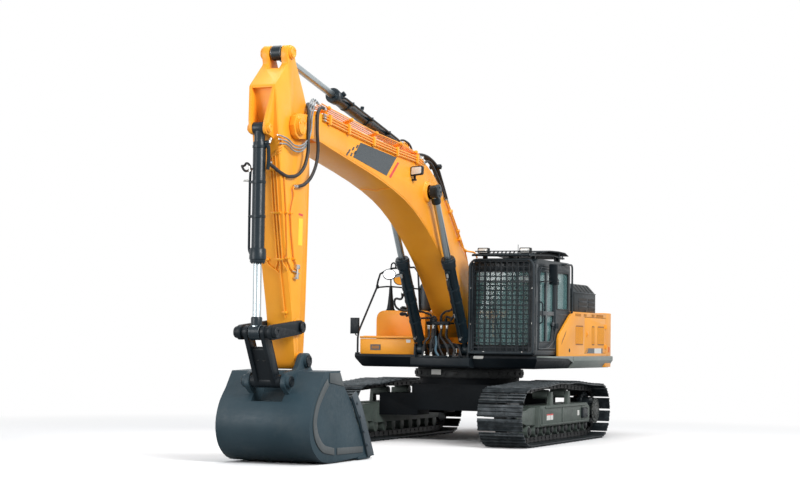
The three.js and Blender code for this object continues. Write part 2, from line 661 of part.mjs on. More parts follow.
function arm() {
  const [ty, tz] = BUCKET_PIN;
  const side = outline([
    [-8098, 5059, 30], [-7705, 5400, 30], [-7740, 5540, 60], [-7700, 5660, 80], [-7540, 5660, 80],
    [-7480, 5470, 60],
    [-7180, 5020, 150], [-7000, 4700, 200], [-6975, 3900], [-7000, 3100], [-7045, 2080, 150],
    [ty + 135, tz + 170, 60], [ty + 112, tz - 112, 105], [ty - 112, tz - 112, 105], [ty - 170, tz + 180, 60],
    [-7480, 2070, 200], [-7734, 3010], [-7899, 3940], [-7985, 4475],
  ]);
  const box = sideSolid(side, -ARM_HALF, ARM_HALF, 5);
  const eyeSlot = block(-95, 95, -7990, -7380, 5330, 6000);
  const body = cut(
    join(box, bothSides(gusset())), eyeSlot,
    frontSolid(outline([
      [-80, 4250], [80, 4250], [80, 4480], [150, 5030], [-150, 5030], [-80, 4480],
    ]), -8400, -8005),
    crossBar(ARM_PIVOT, -400, 400, 70 + RUNNING), crossBar(ROCKER_PIN, -400, 400, 50 + RUNNING),
    crossBar(BUCKET_PIN, -400, 400, 55 + RUNNING),
  );
  const eyeBoss = bothSides(crossBar(ARM_CYLINDER_EYE, ARM_HALF - 5, ARM_HALF + 30, 90));
  const footBoss = bothSides(crossBar(BUCKET_CYLINDER_FOOT, 117, 150, 66));
  return join(body, eyeBoss, footBoss, crossBar(BUCKET_CYLINDER_FOOT, -90, 90, 45));
}

// The bucket's side view, grown outwards by the thickness of its plate.
function bucketProfile(plate) {
  const side = new THREE.Shape();
  side.moveTo(-5990 + plate * 0.5, 50 + plate * 1.2);
  side.lineTo(-7180, 10 + plate);
  side.splineThru([
    [-7560 + plate * 0.4, 50 + plate], [-7850 + plate * 0.8, 240 + plate * 0.5], [-7940 + plate, 520],
    [-7850 + plate, 800], [-7660 + plate, 1010 - plate * 0.3],
  ].map(([y, z]) => new THREE.Vector2(y, z)));
  side.lineTo(-7480 + plate * 0.5, 1240 - plate);
  side.lineTo(-6960, 1255 - plate);
  side.closePath();
  return side;
}

function bucket() {
  const half = BUCKET_HALF;
  const outer = sideSolid(bucketProfile(0), -half, half, 3);
  const mouth = sideSolid(outline([
    [-6960, 1262], [-6990, 1180], [-6400, 640], [-5990, 62], [-5500, 0], [-5500, 1300],
  ]), -half - 10, half + 10);
  const inner = sideSolid(bucketProfile(34), -half + 34, half - 34, 3);
  const opening = sideSolid(outline([[-7010, 1222], [-6040, 90], [-5000, 90], [-5000, 1700], [-6700, 1700]]),
    -half + 34, half - 34);
  const pocket = (grow) => sideSolid(outline([
    [-8200, 845 - grow], [-7590 + grow, 835 - grow], [-7430 + grow, 960 - grow], [-7330 + grow, 1300],
    [-8200, 1300],
  ]), -231 - grow, 231 + grow);
  const shell = cut(outer, mouth, pocket(0), cut(inner, pocket(34)), cut(opening, pocket(34)));
  const ear = sideSolid(outline([
    [-7720, 930], [LINK_BOTTOM[0] - 120, LINK_BOTTOM[1] - 60, 60],
    [LINK_BOTTOM[0] - 60, LINK_BOTTOM[1] + 120, 80],
    [-7500, 1270, 60], [BUCKET_PIN[0] - 130, BUCKET_PIN[1] + 110, 80],
    [BUCKET_PIN[0] + 140, BUCKET_PIN[1] + 110, 90],
    [BUCKET_PIN[0] + 150, BUCKET_PIN[1] - 90, 60], [-6990, 1245], [-7400, 1180],
  ]), 235, 300);
  const teeth = [-0.84, -0.42, 0, 0.42, 0.84].map((place) => {
    const x = place * half;
    return sideSolid(outline([
      [-6120, 20], [-6120, 110], [-5960, 105], [-5620, 50], [-5620, 36], [-5960, 12],
    ]), x - 55, x + 55);
  });
  const lip = sideSolid(outline([
    [-6350, 12], [-6350, 50], [-5960, 78], [-5880, 50], [-5960, 12],
  ]), -half - 14, half + 14);
  const cutters = bothSides(sideSolid(outline([
    [-6620, 870], [-6500, 930], [-6320, 730], [-5890, 60], [-6050, 30], [-6320, 500],
  ]), half - 4, half + 22));
  return join(
    shell, bothSides(ear), teeth, lip, cutters,
    crossBar(BUCKET_PIN, -330, 330, 55), bothSides(crossBar(LINK_BOTTOM, 228, 350, 85)),
    bothSides(crossBar(BUCKET_PIN, 298, 335, 95)),
  );
}

function rockerLinks() {
  const link = sideSolid(linkShape(ROCKER_PIN, 95, LINK_TOP, 100), ARM_HALF + 10, ARM_HALF + 65);
  return join(bothSides(link), crossBar(ROCKER_PIN, -ARM_HALF - 85, ARM_HALF + 85, 50),
    bothSides(crossBar(LINK_TOP, ARM_HALF + 60, ARM_HALF + 105, 80)));
}

function bucketLink() {
  const cheek = sideSolid(linkShape(LINK_TOP, 95, LINK_BOTTOM, 90), 95, 150);
  const web = sideSolid(linkShape(along(LINK_TOP, LINK_BOTTOM, 260), 40, LINK_BOTTOM, 70), -110, 110);
  return join(bothSides(cheek), web, crossBar(LINK_BOTTOM, -222, 222, 88),
    bothSides(crossBar(LINK_TOP, 92, ARM_HALF + 4, 75)));
}

// A cylinder's barrel, from its foot pin to its head, bored for the rod.
function barrel(foot, eye, { x, length, radius, rod, half, bore }) {
  const at = (distance) => [x, ...along(foot, eye, distance)];
  return cut(
    join(
      crossBar(foot, x - half, x + half, bore + 38, 20),
      bar(at(40), at(210), half - 4, 16),
      bar(at(185), at(length), radius, 20),
      bar(at(length - 150), at(length), radius + 16, 20),
    ),
    crossBar(foot, x - half - 10, x + half + 10, bore + RUNNING, 20),
    bar(at(220), at(length + 10), rod + RUNNING, 16),
  );
}

// The rod, from its tail inside the barrel to its eye, with the pin that it carries.
function rod(foot, eye, { x, tail, rod: radius, half, cap = 0 }) {
  const reach = Math.hypot(eye[0] - foot[0], eye[1] - foot[1]);
  const at = (distance) => [x, ...along(foot, eye, distance)];
  const side = Math.sign(x);
  return join(
    bar(at(tail), at(reach - 60), radius, 16),
    crossBar(eye, x - half, x + half, 100, 20),
    bar(at(reach - 190), at(reach - 60), radius + 16, 16),
    cap ? crossBar(eye, x + side * half, x + side * (half + cap), 112, 20) : [],
  );
}

const boomCylinder = (x) => ({
  x, length: 1715, tail: 1000, radius: 95, rod: 56, half: 50, bore: 48, cap: 35,
});
const armCylinder = { x: 0, length: 2640, tail: 1500, radius: 90, rod: 54, half: 72, bore: 45 };
const bucketCylinder = { x: 0, length: 1790, tail: 860, radius: 88, rod: 56, half: 76, bore: 45 };

// ---------------------------------------------------------------- materials

function finish(color, roughness, metalness = 0) {
  return new THREE.MeshStandardMaterial({ color, roughness, metalness });
}

const YELLOW = finish(0xf5991c, 0.4);
const BLACK = finish(0x16181b, 0.5);
const STEEL_GREY = finish(0x3f474d, 0.55, 0.3);
const TRACK_STEEL = finish(0x1d2023, 0.6, 0.4);
const FRAME_GREEN = finish(0x3b423c, 0.55);
const CHROME = finish(0xb9bec2, 0.2, 1);
const GLASS = finish(0x7fa3a0, 0.05);
const CLOTH = finish(0x24262a, 0.9);
const CAST = finish(0x2b2e30, 0.7, 0.3);

// ---------------------------------------------------------------- assembly

const excavator = new THREE.Group();
excavator.position.y = ORIGIN_SHIFT;

function add(name, solid, material) {
  const mesh = new THREE.Mesh(toGeometry(solid), material);
  mesh.name = name;
  excavator.add(mesh);
}

function addPair(name, solid, material) {
  add(`left_${name}`, solid, material);
  add(`right_${name}`, mirrored(solid), material);
}

addPair('track', leftTrack(), TRACK_STEEL);
addPair('track_frame', leftTrackFrame(), FRAME_GREEN);
addPair('idler', leftIdler(), TRACK_STEEL);
addPair('sprocket', leftSprocket(), TRACK_STEEL);
add('car_body', carBody(), BLACK);
add('swing_bearing', swingBearing(), CAST);

add('platform', platform(), BLACK);
add('counterweight', counterweight(), YELLOW);
add('engine_block', engineBlock(), CAST);
add('rear_cowl', rearCowl(), YELLOW);
addPair('cowl_door', sideDoor(), YELLOW);
add('engine_hood', engineHood(), BLACK);
add('fuel_tank', fuelTank(), YELLOW);
add('tool_box', toolBox(), YELLOW);
add('tool_box_lid', toolBoxLid(), YELLOW);
add('handrails', handrails(), BLACK);
add('right_mirror', rightMirror(), BLACK);

add('cab_shell', cabShell(), BLACK);
add('cab_floor', cabFloor(), BLACK);
add('cab_door', cabDoor(), BLACK);
add('cab_guard', cabGuard(), BLACK);
add('roof_visor', roofVisor(), BLACK);
add('windscreen', endPane(outline(WINDSCREEN), CAB.front + 20), GLASS);
add('rear_window', endPane(outline(REAR_WINDOW), CAB.rear - 28), GLASS);
add('right_window', sidePane(outline(RIGHT_WINDOW), CAB.inside + 20), GLASS);
add('quarter_window', sidePane(outline(QUARTER_WINDOW), CAB.outside - 26), GLASS);
add('door_window', sidePane(outline(DOOR_WINDOW), CAB.outside - 28), GLASS);
add('seat_frame', seatFrame(), BLACK);
add('seat_cushion', seatCushion(), CLOTH);
add('seat_back', seatBack(), CLOTH);

add('boom', boom(), YELLOW);
add('arm', arm(), YELLOW);
add('bucket', bucket(), STEEL_GREY);
add('rocker_links', rockerLinks(), BLACK);
add('bucket_link', bucketLink(), BLACK);
for (const [side, x] of [['left', BOOM_CYLINDER_X], ['right', -BOOM_CYLINDER_X]]) {
  add(`${side}_boom_barrel`, barrel(BOOM_CYLINDER_FOOT, BOOM_CYLINDER_EYE, boomCylinder(x)), BLACK);
  add(`${side}_boom_rod`, rod(BOOM_CYLINDER_FOOT, BOOM_CYLINDER_EYE, boomCylinder(x)), CHROME);
}
add('arm_barrel', barrel(ARM_CYLINDER_FOOT, ARM_CYLINDER_EYE, armCylinder), BLACK);
add('arm_rod', rod(ARM_CYLINDER_FOOT, ARM_CYLINDER_EYE, armCylinder), CHROME);
add('bucket_barrel', barrel(BUCKET_CYLINDER_FOOT, LINK_TOP, bucketCylinder), BLACK);
add('bucket_rod', rod(BUCKET_CYLINDER_FOOT, LINK_TOP, bucketCylinder), CHROME);

export default excavator;
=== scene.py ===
import contextlib
import json
import math

import bpy
from mathutils import Matrix, Vector


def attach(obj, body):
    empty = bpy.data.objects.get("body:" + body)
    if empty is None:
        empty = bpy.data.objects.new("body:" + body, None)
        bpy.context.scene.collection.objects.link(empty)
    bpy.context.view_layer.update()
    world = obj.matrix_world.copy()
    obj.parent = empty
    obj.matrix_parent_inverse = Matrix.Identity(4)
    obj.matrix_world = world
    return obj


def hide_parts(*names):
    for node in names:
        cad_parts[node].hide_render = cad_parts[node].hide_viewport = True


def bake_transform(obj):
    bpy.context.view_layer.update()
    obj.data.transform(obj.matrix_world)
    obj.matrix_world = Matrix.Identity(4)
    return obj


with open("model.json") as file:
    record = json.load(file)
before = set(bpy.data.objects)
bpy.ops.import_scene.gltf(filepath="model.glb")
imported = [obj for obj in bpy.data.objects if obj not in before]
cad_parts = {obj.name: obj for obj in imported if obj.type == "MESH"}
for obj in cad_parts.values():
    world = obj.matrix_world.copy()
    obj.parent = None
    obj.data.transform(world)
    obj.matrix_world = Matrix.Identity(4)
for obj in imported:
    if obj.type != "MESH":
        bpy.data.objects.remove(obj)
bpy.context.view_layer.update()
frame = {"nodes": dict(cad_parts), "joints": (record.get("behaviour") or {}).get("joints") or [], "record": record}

# Every place and size below is in millimetres, measured from the swing axis on the ground, with the
# front of the machine along -Y and its left side along +X. at() turns a place into the frame's metres.
MM = 0.001
JOINT = {joint["name"]: joint for joint in frame["joints"]}
SWING_Y = JOINT["swing"]["pos_m"][1]


def at(x, y, z):
    return Vector((x * MM, y * MM + SWING_Y, z * MM))


def pin(name):
    """The [y, z] of a joint's pin."""
    place = JOINT[name]["pos_m"]
    return ((place[1] - SWING_Y) / MM, place[2] / MM)


ARM_PIVOT = pin("arm_swing")
BUCKET_PIN = pin("bucket_curl")
BOOM_CYLINDER_FOOT = pin("boom_barrels_tilt")
ARM_CYLINDER_FOOT = pin("arm_barrel_tilt")
BUCKET_CYLINDER_FOOT = pin("bucket_barrel_tilt")
ROCKER_PIN = pin("rocker_turn")
LINK_TOP = pin("bucket_link_turn")
BOOM_CYLINDER_EYE = (-2770, 4045)
ARM_CYLINDER_EYE = (-7620, 5560)
LINK_BOTTOM = (-7790, 1110)
BOOM_CYLINDER_X = 400
TRACK_CENTRE = 1425
AXLE_Y, AXLE_Z = 2020, 485              # the sprockets' axle, and the idlers' at -AXLE_Y
COWL_SIDE = 1650
DOOR_SIDE = 1600

# ---------------------------------------------------------------- camera


def make_camera():
    """Stands at the front left, just above the bucket's height, looking slightly up."""
    yaw, pitch, roll = (math.radians(angle) for angle in (22.4553, -2.4894, 0.7459))
    back = Vector((math.sin(yaw) * math.cos(pitch), -math.cos(yaw) * math.cos(pitch), math.sin(pitch)))
    right = Vector((math.cos(yaw), math.sin(yaw), 0))
    up = right.cross(-back)
    across = math.cos(roll) * right + math.sin(roll) * up
    upward = math.cos(roll) * up - math.sin(roll) * right
    data = bpy.data.cameras.new("camera")
    data.lens = 84.698
    data.sensor_width = 36
    data.shift_y = 0.02566
    data.clip_end = 300
    camera = bpy.data.objects.new("camera", data)
    camera.matrix_world = Matrix.Translation(at(11284.9, -30498.2, 1652.1)) @ Matrix(
        (across, upward, back)).transposed().to_4x4()
    bpy.context.scene.collection.objects.link(camera)
    bpy.context.scene.camera = camera


make_camera()

# ---------------------------------------------------------------- making shapes


def only(*objects):
    bpy.ops.object.select_all(action="DESELECT")
    for obj in objects:
        obj.select_set(True)
    bpy.context.view_layer.objects.active = objects[0]
    return objects[0]


@contextlib.contextmanager
def editing(obj):
    """Edit mode on one object, with all of it selected."""
    only(obj)
    bpy.ops.object.mode_set(mode="EDIT")
    bpy.ops.mesh.select_all(action="SELECT")
    yield
    bpy.ops.object.mode_set(mode="OBJECT")


def applied(obj, kind, **settings):
    """Adds a modifier, sets it and applies it."""
    modifier = obj.modifiers.new(kind.lower(), kind)
    for key, value in settings.items():
        setattr(modifier, key, value)
    bpy.ops.object.modifier_apply(modifier=modifier.name)


def settle(obj):
    """Puts an object's place into its mesh."""
    only(obj)
    bpy.ops.object.transform_apply(location=True, rotation=True, scale=True)
    return obj


def soften(obj, width, segments=2, sharp=30):
    """Rounds the edges that are sharper than an angle."""
    with editing(obj):
        bpy.ops.mesh.select_mode(type="EDGE")
        bpy.ops.mesh.select_all(action="DESELECT")
        bpy.ops.mesh.edges_select_sharp(sharpness=math.radians(sharp))
        bpy.ops.mesh.bevel(offset=width * MM, segments=segments, affect="EDGES", clamp_overlap=True)
    return obj


def block(x, y, z, edge=4, segments=2):
    """A box between two values of x, of y and of z."""
    low, high = at(x[0], y[0], z[0]), at(x[1], y[1], z[1])
    bpy.ops.mesh.primitive_cube_add(size=1, location=(low + high) / 2)
    obj = bpy.context.object
    obj.scale = high - low
    settle(obj)
    return soften(obj, edge, segments) if edge else obj


def bar(start, end, radius, sides=16, edge=0):
    """A round bar."""
    start, end = at(*start), at(*end)
    way = end - start
    bpy.ops.mesh.primitive_cylinder_add(
        vertices=sides, radius=radius * MM, depth=way.length,
        location=(start + end) / 2, rotation=way.to_track_quat("Z", "Y").to_euler())
    obj = settle(bpy.context.object)
    return soften(obj, edge, 2, 50) if edge else obj


def cross_bar(place, x0, x1, radius, sides=24, edge=3):
    """A round bar along X at a [y, z]."""
    return bar((x0, *place), (x1, *place), radius, sides, edge)


def plate(corners, thick, edge=2, segments=2):
    """A flat plate: an outline of places, thickened by a vector."""
    bpy.ops.mesh.primitive_circle_add(vertices=len(corners), radius=1, fill_type="NGON")
    obj = bpy.context.object
    for vertex, corner in zip(obj.data.vertices, corners):
        vertex.co = at(*corner)
    with editing(obj):
        bpy.ops.mesh.extrude_region_move(TRANSFORM_OT_translate={"value": Vector(thick) * MM})
        bpy.ops.mesh.select_all(action="SELECT")
        bpy.ops.mesh.normals_make_consistent(inside=False)
    return soften(obj, edge, segments) if edge else obj


def side_plate(outline, x0, x1, edge=2, segments=2):
    """A plate of [y, z] corners between two values of x."""
    return plate([(x0, y, z) for y, z in outline], (x1 - x0, 0, 0), edge, segments)


def front_plate(outline, y0, y1, edge=2, segments=2):
    """A plate of [x, z] corners between two values of y."""
    return plate([(x, y0, z) for x, z in outline], (0, y1 - y0, 0), edge, segments)


def plan_plate(outline, z0, z1, edge=2, segments=2):
    """A plate of [x, y] corners between two heights."""
    return plate([(x, y, z0) for x, y in outline], (0, 0, z1 - z0), edge, segments)


def oblong(across, up):
    """The corners of a rectangle, between two values each way."""
    return [(across[0], up[0]), (across[1], up[0]), (across[1], up[1]), (across[0], up[1])]


def rounded(corners, radius, steps=4):
    """An outline or path with its corners replaced by arcs of about that radius; a path keeps its ends."""
    points = [Vector(corner) for corner in corners]
    result = [points[0]]
    for before, corner, after in zip(points, points[1:], points[2:]):
        reach = min(radius, (before - corner).length / 2, (after - corner).length / 2)
        start = corner + (before - corner).normalized() * reach
        end = corner + (after - corner).normalized() * reach
        for i in range(steps + 1):
            t = i / steps
            result.append(start * (1 - t) ** 2 + corner * 2 * t * (1 - t) + end * t * t)
    return result + [points[-1]]


def ring(corners, radius):
    """A closed outline with rounded corners."""
    middle = (Vector(corners[0]) + Vector(corners[1])) / 2
    return rounded([middle, *corners[1:], corners[0], middle], radius)[:-1]


def sweep(points, radius, kind, sides=2):
    """A round section carried along points, by straight lines (POLY) or one smooth curve (BEZIER)."""
    curve = bpy.data.curves.new("pipe", "CURVE")
    curve.dimensions = "3D"
    curve.bevel_depth = radius * MM
    curve.bevel_resolution = sides
    curve.resolution_u = 8
    curve.use_fill_caps = True
    spline = curve.splines.new(kind)
    if kind == "POLY":
        spline.points.add(len(points) - 1)
        for point, place in zip(spline.points, points):
            point.co = (*at(*place), 1)
    else:
        spline.bezier_points.add(len(points) - 1)
        for point, place in zip(spline.bezier_points, points):
            point.co = at(*place)
            point.handle_left_type = point.handle_right_type = "AUTO"
    obj = bpy.data.objects.new("pipe", curve)
    bpy.context.scene.collection.objects.link(obj)
    only(obj)
    bpy.ops.object.convert(target="MESH")
    return bpy.context.object


def pipe(points, radius, bend=60, sides=2):
    """A steel pipe with straight runs and tight bends."""
    return sweep(rounded(points, bend), radius, "POLY", sides=sides)


def hose(points, radius):
    """A rubber hose in one smooth curve."""
    return sweep(points, radius, "BEZIER")


def lathe(profile, start, end, steps=32):
    """A turned shape: [distance from start, radius] pairs spun about the line from start to end."""
    start, end = at(*start), at(*end)
    axis = (end - start).normalized()
    side = axis.orthogonal().normalized()
    bpy.ops.mesh.primitive_circle_add(vertices=max(3, len(profile)), radius=1, fill_type="NOTHING")
    obj = bpy.context.object
    with editing(obj):
        bpy.ops.mesh.select_all(action="DESELECT")
    for vertex, (distance, radius) in zip(obj.data.vertices, profile):
        vertex.co = start + axis * distance * MM + side * max(radius, 0.01) * MM
    closing = {0, len(profile) - 1}
    for edge in obj.data.edges:
        edge.select = set(edge.vertices) == closing
    bpy.ops.object.mode_set(mode="EDIT")
    bpy.ops.mesh.select_mode(type="EDGE")
    bpy.ops.mesh.delete(type="EDGE")
    bpy.ops.mesh.select_all(action="SELECT")
    bpy.ops.mesh.spin(steps=steps, angle=2 * math.pi, center=start, axis=axis)
    bpy.ops.mesh.select_all(action="SELECT")
    bpy.ops.mesh.remove_doubles(threshold=0.0002)
    bpy.ops.mesh.normals_make_consistent(inside=False)
    bpy.ops.object.mode_set(mode="OBJECT")
    return obj


def turned(profile, x, place, steps=32):
    """A turned shape about a line along X, from x outwards, at a [y, z]."""
    return lathe(profile, (x, *place), (x + 100, *place), steps)


def upright(profile, x, y, z, steps=32):
    """A turned shape standing on a place."""
    return lathe(profile, (x, y, z), (x, y, z + 100), steps)


def joined(objects):
    """Several meshes as one, in their order."""
    objects = list(objects)
    if len(objects) > 1:
        only(*objects)
        bpy.ops.object.join()
    return objects[0]


def copied(obj, matrix):
    """A copy with its own mesh, moved by a matrix."""
    twin = bpy.data.objects.new(obj.name, obj.data.copy())
    bpy.context.scene.collection.objects.link(twin)
    twin.data.transform(matrix)
    return twin


def moved(obj, x, y, z):
    return copied(obj, Matrix.Translation(Vector((x, y, z)) * MM))


def mirrored(obj):
    """The same shape on the machine's other side."""
    twin = copied(obj, Matrix.Scale(-1, 4, (1, 0, 0)))
    with editing(twin):
        bpy.ops.mesh.flip_normals()
    return twin


def both(*objects):
    """Shapes and their mirrored copies."""
    return [*objects, *(mirrored(obj) for obj in objects)]


def bolts(places, way, radius=14, height=12):
    """Hexagon heads on round washers at several places, standing along a unit vector."""
    way = Vector(way)
    start = Vector(places[0])
    washer = bar(start, start + way * height * 0.3, radius * 1.25, 14)
    head = bar(start, start + way * height, radius, 6, 1.5)
    first = joined([head, washer])
    return joined([first, *(moved(first, *(Vector(place) - start)) for place in places[1:])])


def turns(count, first=0.0):
    """The cosine and sine of evenly spaced angles."""
    return [(math.cos(first + i * math.tau / count), math.sin(first + i * math.tau / count))
            for i in range(count)]


def circle_of(count, place, radius, x, first=0.0):
    """Places round a [y, z] at one x."""
    return [(x, place[0] + radius * c, place[1] + radius * s) for c, s in turns(count, first)]


def circle_round(count, middle, radius, z):
    """Places round an upright line through an [x, y], at one height."""
    return [(middle[0] + radius * c, middle[1] + radius * s, z) for c, s in turns(count)]


def finished(name, objects, body, material, smooth=35):
    """One named piece in one finish, riding on a body when one is given."""
    obj = joined(objects if isinstance(objects, (list, tuple)) else [objects])
    obj.name = obj.data.name = name
    obj.data.materials.clear()
    obj.data.materials.append(material)
    only(obj)
    bpy.ops.object.shade_smooth_by_angle(angle=math.radians(smooth))
    if body:
        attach(obj, body)
    return obj


def pair(name, objects, body, material):
    """The same piece on both sides of the machine."""
    left = finished(f"left_{name}", objects, body, material)
    return left, finished(f"right_{name}", mirrored(left), body, material)


def blended(name, objects, material=None):
    """A hose between its two ends, as one piece on no body, with its place put into its mesh."""
    obj = finished(name, objects, None, material or RUBBER, 40)
    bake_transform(obj)
    return obj


BODY_OF = {node: body for body, nodes in frame["record"]["behaviour"]["bodies"].items() for node in nodes}


def refined(node, material, edge):
    """A CAD node's own shape with whole faces and rounded edges, which stands for the node."""
    mesh = frame["nodes"][node].data.copy()
    obj = bpy.data.objects.new(node + "_finished", mesh)
    bpy.context.scene.collection.objects.link(obj)
    only(obj)
    if mesh.has_custom_normals:
        bpy.ops.mesh.customdata_custom_splitnormals_clear()
    with editing(obj):
        bpy.ops.mesh.remove_doubles(threshold=0.00005)
        bpy.ops.mesh.dissolve_limited(angle_limit=math.radians(0.6))
    if edge:
        applied(obj, "BEVEL", width=edge * MM, segments=2, limit_method="ANGLE", angle_limit=math.radians(28),
                use_clamp_overlap=True)
    piece = finished(node + "_finished", obj, BODY_OF[node], material, 32)
    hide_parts(node)
    return piece


# ---------------------------------------------------------------- finishes


class Nodes:
    """A material's nodes, with short calls to add and join them."""

    def __init__(self, name):
        self.material = bpy.data.materials.new(name)
        self.material.use_nodes = True
        self.tree = self.material.node_tree
        self.shader = self.tree.nodes["Principled BSDF"]
        self.place = self.add("ShaderNodeTexCoord").outputs["Object"]

    def add(self, kind, **settings):
        """A new node with its settings."""
        node = self.tree.nodes.new(kind)
        for key, value in settings.items():
            setattr(node, key, value)
        return node

    def join(self, source, target):
        self.tree.links.new(source, target)

    def noise(self, scale, detail=4, rough=0.55, stretch=None):
        """Cloudy noise over the piece's own place."""
        node = self.add("ShaderNodeTexNoise")
        node.inputs["Scale"].default_value = scale
        node.inputs["Detail"].default_value = detail
        node.inputs["Roughness"].default_value = rough
        source = self.place
        if stretch:
            mapping = self.add("ShaderNodeMapping")
            mapping.inputs["Scale"].default_value = stretch
            self.join(source, mapping.inputs["Vector"])
            source = mapping.outputs["Vector"]
        self.join(source, node.inputs["Vector"])
        return node.outputs["Fac"]

    def spread(self, value, low, high, to_low=0.0, to_high=1.0):
        """A value's range stretched to another."""
        node = self.add("ShaderNodeMapRange")
        for key, number in (("From Min", low), ("From Max", high), ("To Min", to_low), ("To Max", to_high)):
            node.inputs[key].default_value = number
        self.join(value, node.inputs["Value"])
        return node.outputs["Result"]

    def blend(self, factor, first, second):
        """A mix of two colours."""
        node = self.add("ShaderNodeMix", data_type="RGBA")
        self.join(factor, node.inputs["Factor"])
        for socket, value in ((node.inputs["A"], first), (node.inputs["B"], second)):
            if isinstance(value, tuple):
                socket.default_value = (*value, 1)
            else:
                self.join(value, socket)
        return node.outputs["Result"]

    def colour(self, output):
        self.join(output, self.shader.inputs["Base Color"])

    def roughness(self, output):
        self.join(output, self.shader.inputs["Roughness"])

    def bump(self, height, strength, distance):
        """Relief, on top of any relief before it."""
        node = self.add("ShaderNodeBump")
        node.inputs["Strength"].default_value = strength
        node.inputs["Distance"].default_value = distance
        self.join(height, node.inputs["Height"])
        previous = self.shader.inputs["Normal"].links
        if previous:
            self.join(previous[0].from_socket, node.inputs["Normal"])
        self.join(node.outputs["Normal"], self.shader.inputs["Normal"])

    def set(self, **values):
        names = {"coat": "Coat Weight", "coat_rough": "Coat Roughness", "metal": "Metallic",
                 "rough": "Roughness", "specular": "Specular IOR Level", "sheen": "Sheen Weight"}
        for key, value in values.items():
            self.shader.inputs[names[key]].default_value = value


def painted(name, colour, shade, rough=(0.3, 0.45),
            dust=None, dust_amount=0.3, peel=0.15, coat=0.0, specular=0.5):
    """Sprayed paint: a slow drift of colour, fine orange peel, and dust or dirt in cloudy patches."""
    made = Nodes(name)
    drift = made.spread(made.noise(1.3, 3), 0.35, 0.68)
    base = made.blend(drift, colour, shade)
    if dust:
        patches = made.spread(made.noise(3.1, 8, 0.65), 0.52, 0.8, 0, dust_amount)
        base = made.blend(patches, base, dust)
    made.colour(base)
    wear = made.noise(22, 5)
    made.roughness(made.spread(wear, 0.3, 0.7, *rough))
    made.bump(made.noise(340, 2), peel, 0.0006)
    made.set(coat=coat, coat_rough=0.12, specular=specular)
    return made.material


def forged(name, colour, worn, rough=(0.4, 0.65), grain=90, depth=0.35, metal=0.6):
    """Forged or cast steel with a pitted skin, rubbed brighter in patches."""
    made = Nodes(name)
    patches = made.spread(made.noise(9, 6, 0.62), 0.42, 0.7)
    made.colour(made.blend(patches, colour, worn))
    made.roughness(made.spread(made.noise(30, 4), 0.3, 0.7, *rough))
    made.bump(made.noise(grain, 5), depth, 0.002)
    made.set(metal=metal)
    return made.material


def plated(name, colour, rough=(0.12, 0.22)):
    """Ground and plated steel with fine marks along the machine's Z."""
    made = Nodes(name)
    lines = made.noise(60, 3, stretch=(6, 6, 0.4))
    made.colour(made.blend(lines, colour, tuple(0.82 * c for c in colour)))
    made.roughness(made.spread(lines, 0.3, 0.7, *rough))
    made.bump(made.noise(220, 2), 0.05, 0.0004)
    made.set(metal=1.0)
    return made.material


def moulded(name, colour, rough=(0.5, 0.65)):
    """Rubber or grained plastic."""
    made = Nodes(name)
    made.colour(made.blend(made.spread(made.noise(12, 5), 0.3, 0.7), colour, tuple(1.7 * c for c in colour)))
    made.roughness(made.spread(made.noise(40, 3), 0.3, 0.7, *rough))
    made.bump(made.noise(400, 3), 0.25, 0.001)
    return made.material


def glazed(name, colour, clear):
    """Glass as a thin tinted sheet with a little dust."""
    made = Nodes(name)
    film = made.spread(made.noise(4, 6), 0.35, 0.75)
    made.colour(made.blend(film, colour, tuple(min(1, 1.15 * c) for c in colour)))
    made.roughness(made.spread(film, 0, 1, 0.03, 0.08))
    made.join(made.spread(film, 0, 1, 1 - clear, 1 - 0.85 * clear), made.shader.inputs["Alpha"])
    made.set(specular=0.6)
    return made.material


def woven(name, colour):
    """Seat cloth with a fine rib."""
    made = Nodes(name)
    ribs = made.add("ShaderNodeTexWave", bands_direction="DIAGONAL")
    ribs.inputs["Scale"].default_value = 140
    ribs.inputs["Distortion"].default_value = 0.8
    made.join(made.place, ribs.inputs["Vector"])
    made.colour(made.blend(ribs.outputs["Fac"], colour, tuple(2.2 * c for c in colour)))
    made.bump(ribs.outputs["Fac"], 0.4, 0.001)
    made.set(rough=0.9, sheen=0.3)
    return made.material


YELLOW = painted("yellow_paint", (0.96, 0.392, 0.026), (0.90, 0.338, 0.019), (0.3, 0.42),
                 dust=(0.80, 0.44, 0.08), dust_amount=0.12, specular=0.35)
PIPE_YELLOW = painted("pipe_yellow", (0.92, 0.375, 0.028), (0.82, 0.31, 0.020), (0.3, 0.45), coat=0.15)
BLACK = painted("black_paint", (0.005, 0.008, 0.011), (0.010, 0.015, 0.019), (0.3, 0.5),
                dust=(0.028, 0.036, 0.040), dust_amount=0.2, specular=0.2)
CAB_PAINT = painted("cab_paint", (0.012, 0.018, 0.022), (0.020, 0.028, 0.033), (0.35, 0.5),
                    dust=(0.055, 0.066, 0.070), dust_amount=0.2, specular=0.2)
HOOD_PAINT = painted("hood_paint", (0.014, 0.020, 0.024), (0.022, 0.030, 0.035), (0.4, 0.55), specular=0.2)
BUCKET_PAINT = painted("bucket_paint", (0.020, 0.041, 0.054), (0.031, 0.055, 0.070), (0.38, 0.55),
                       dust=(0.085, 0.10, 0.105), dust_amount=0.3, peel=0.3, specular=0.25)
CAR_PAINT = painted("car_paint", (0.003, 0.004, 0.005), (0.006, 0.008, 0.010), (0.5, 0.65), specular=0.1)
CYLINDER_PAINT = painted("cylinder_paint", (0.006, 0.014, 0.020), (0.011, 0.021, 0.028), (0.25, 0.4),
                         specular=0.3)
FRAME_PAINT = painted("frame_paint", (0.064, 0.084, 0.072), (0.086, 0.108, 0.095), (0.45, 0.6),
                      dust=(0.02, 0.02, 0.02), dust_amount=0.6, peel=0.3)
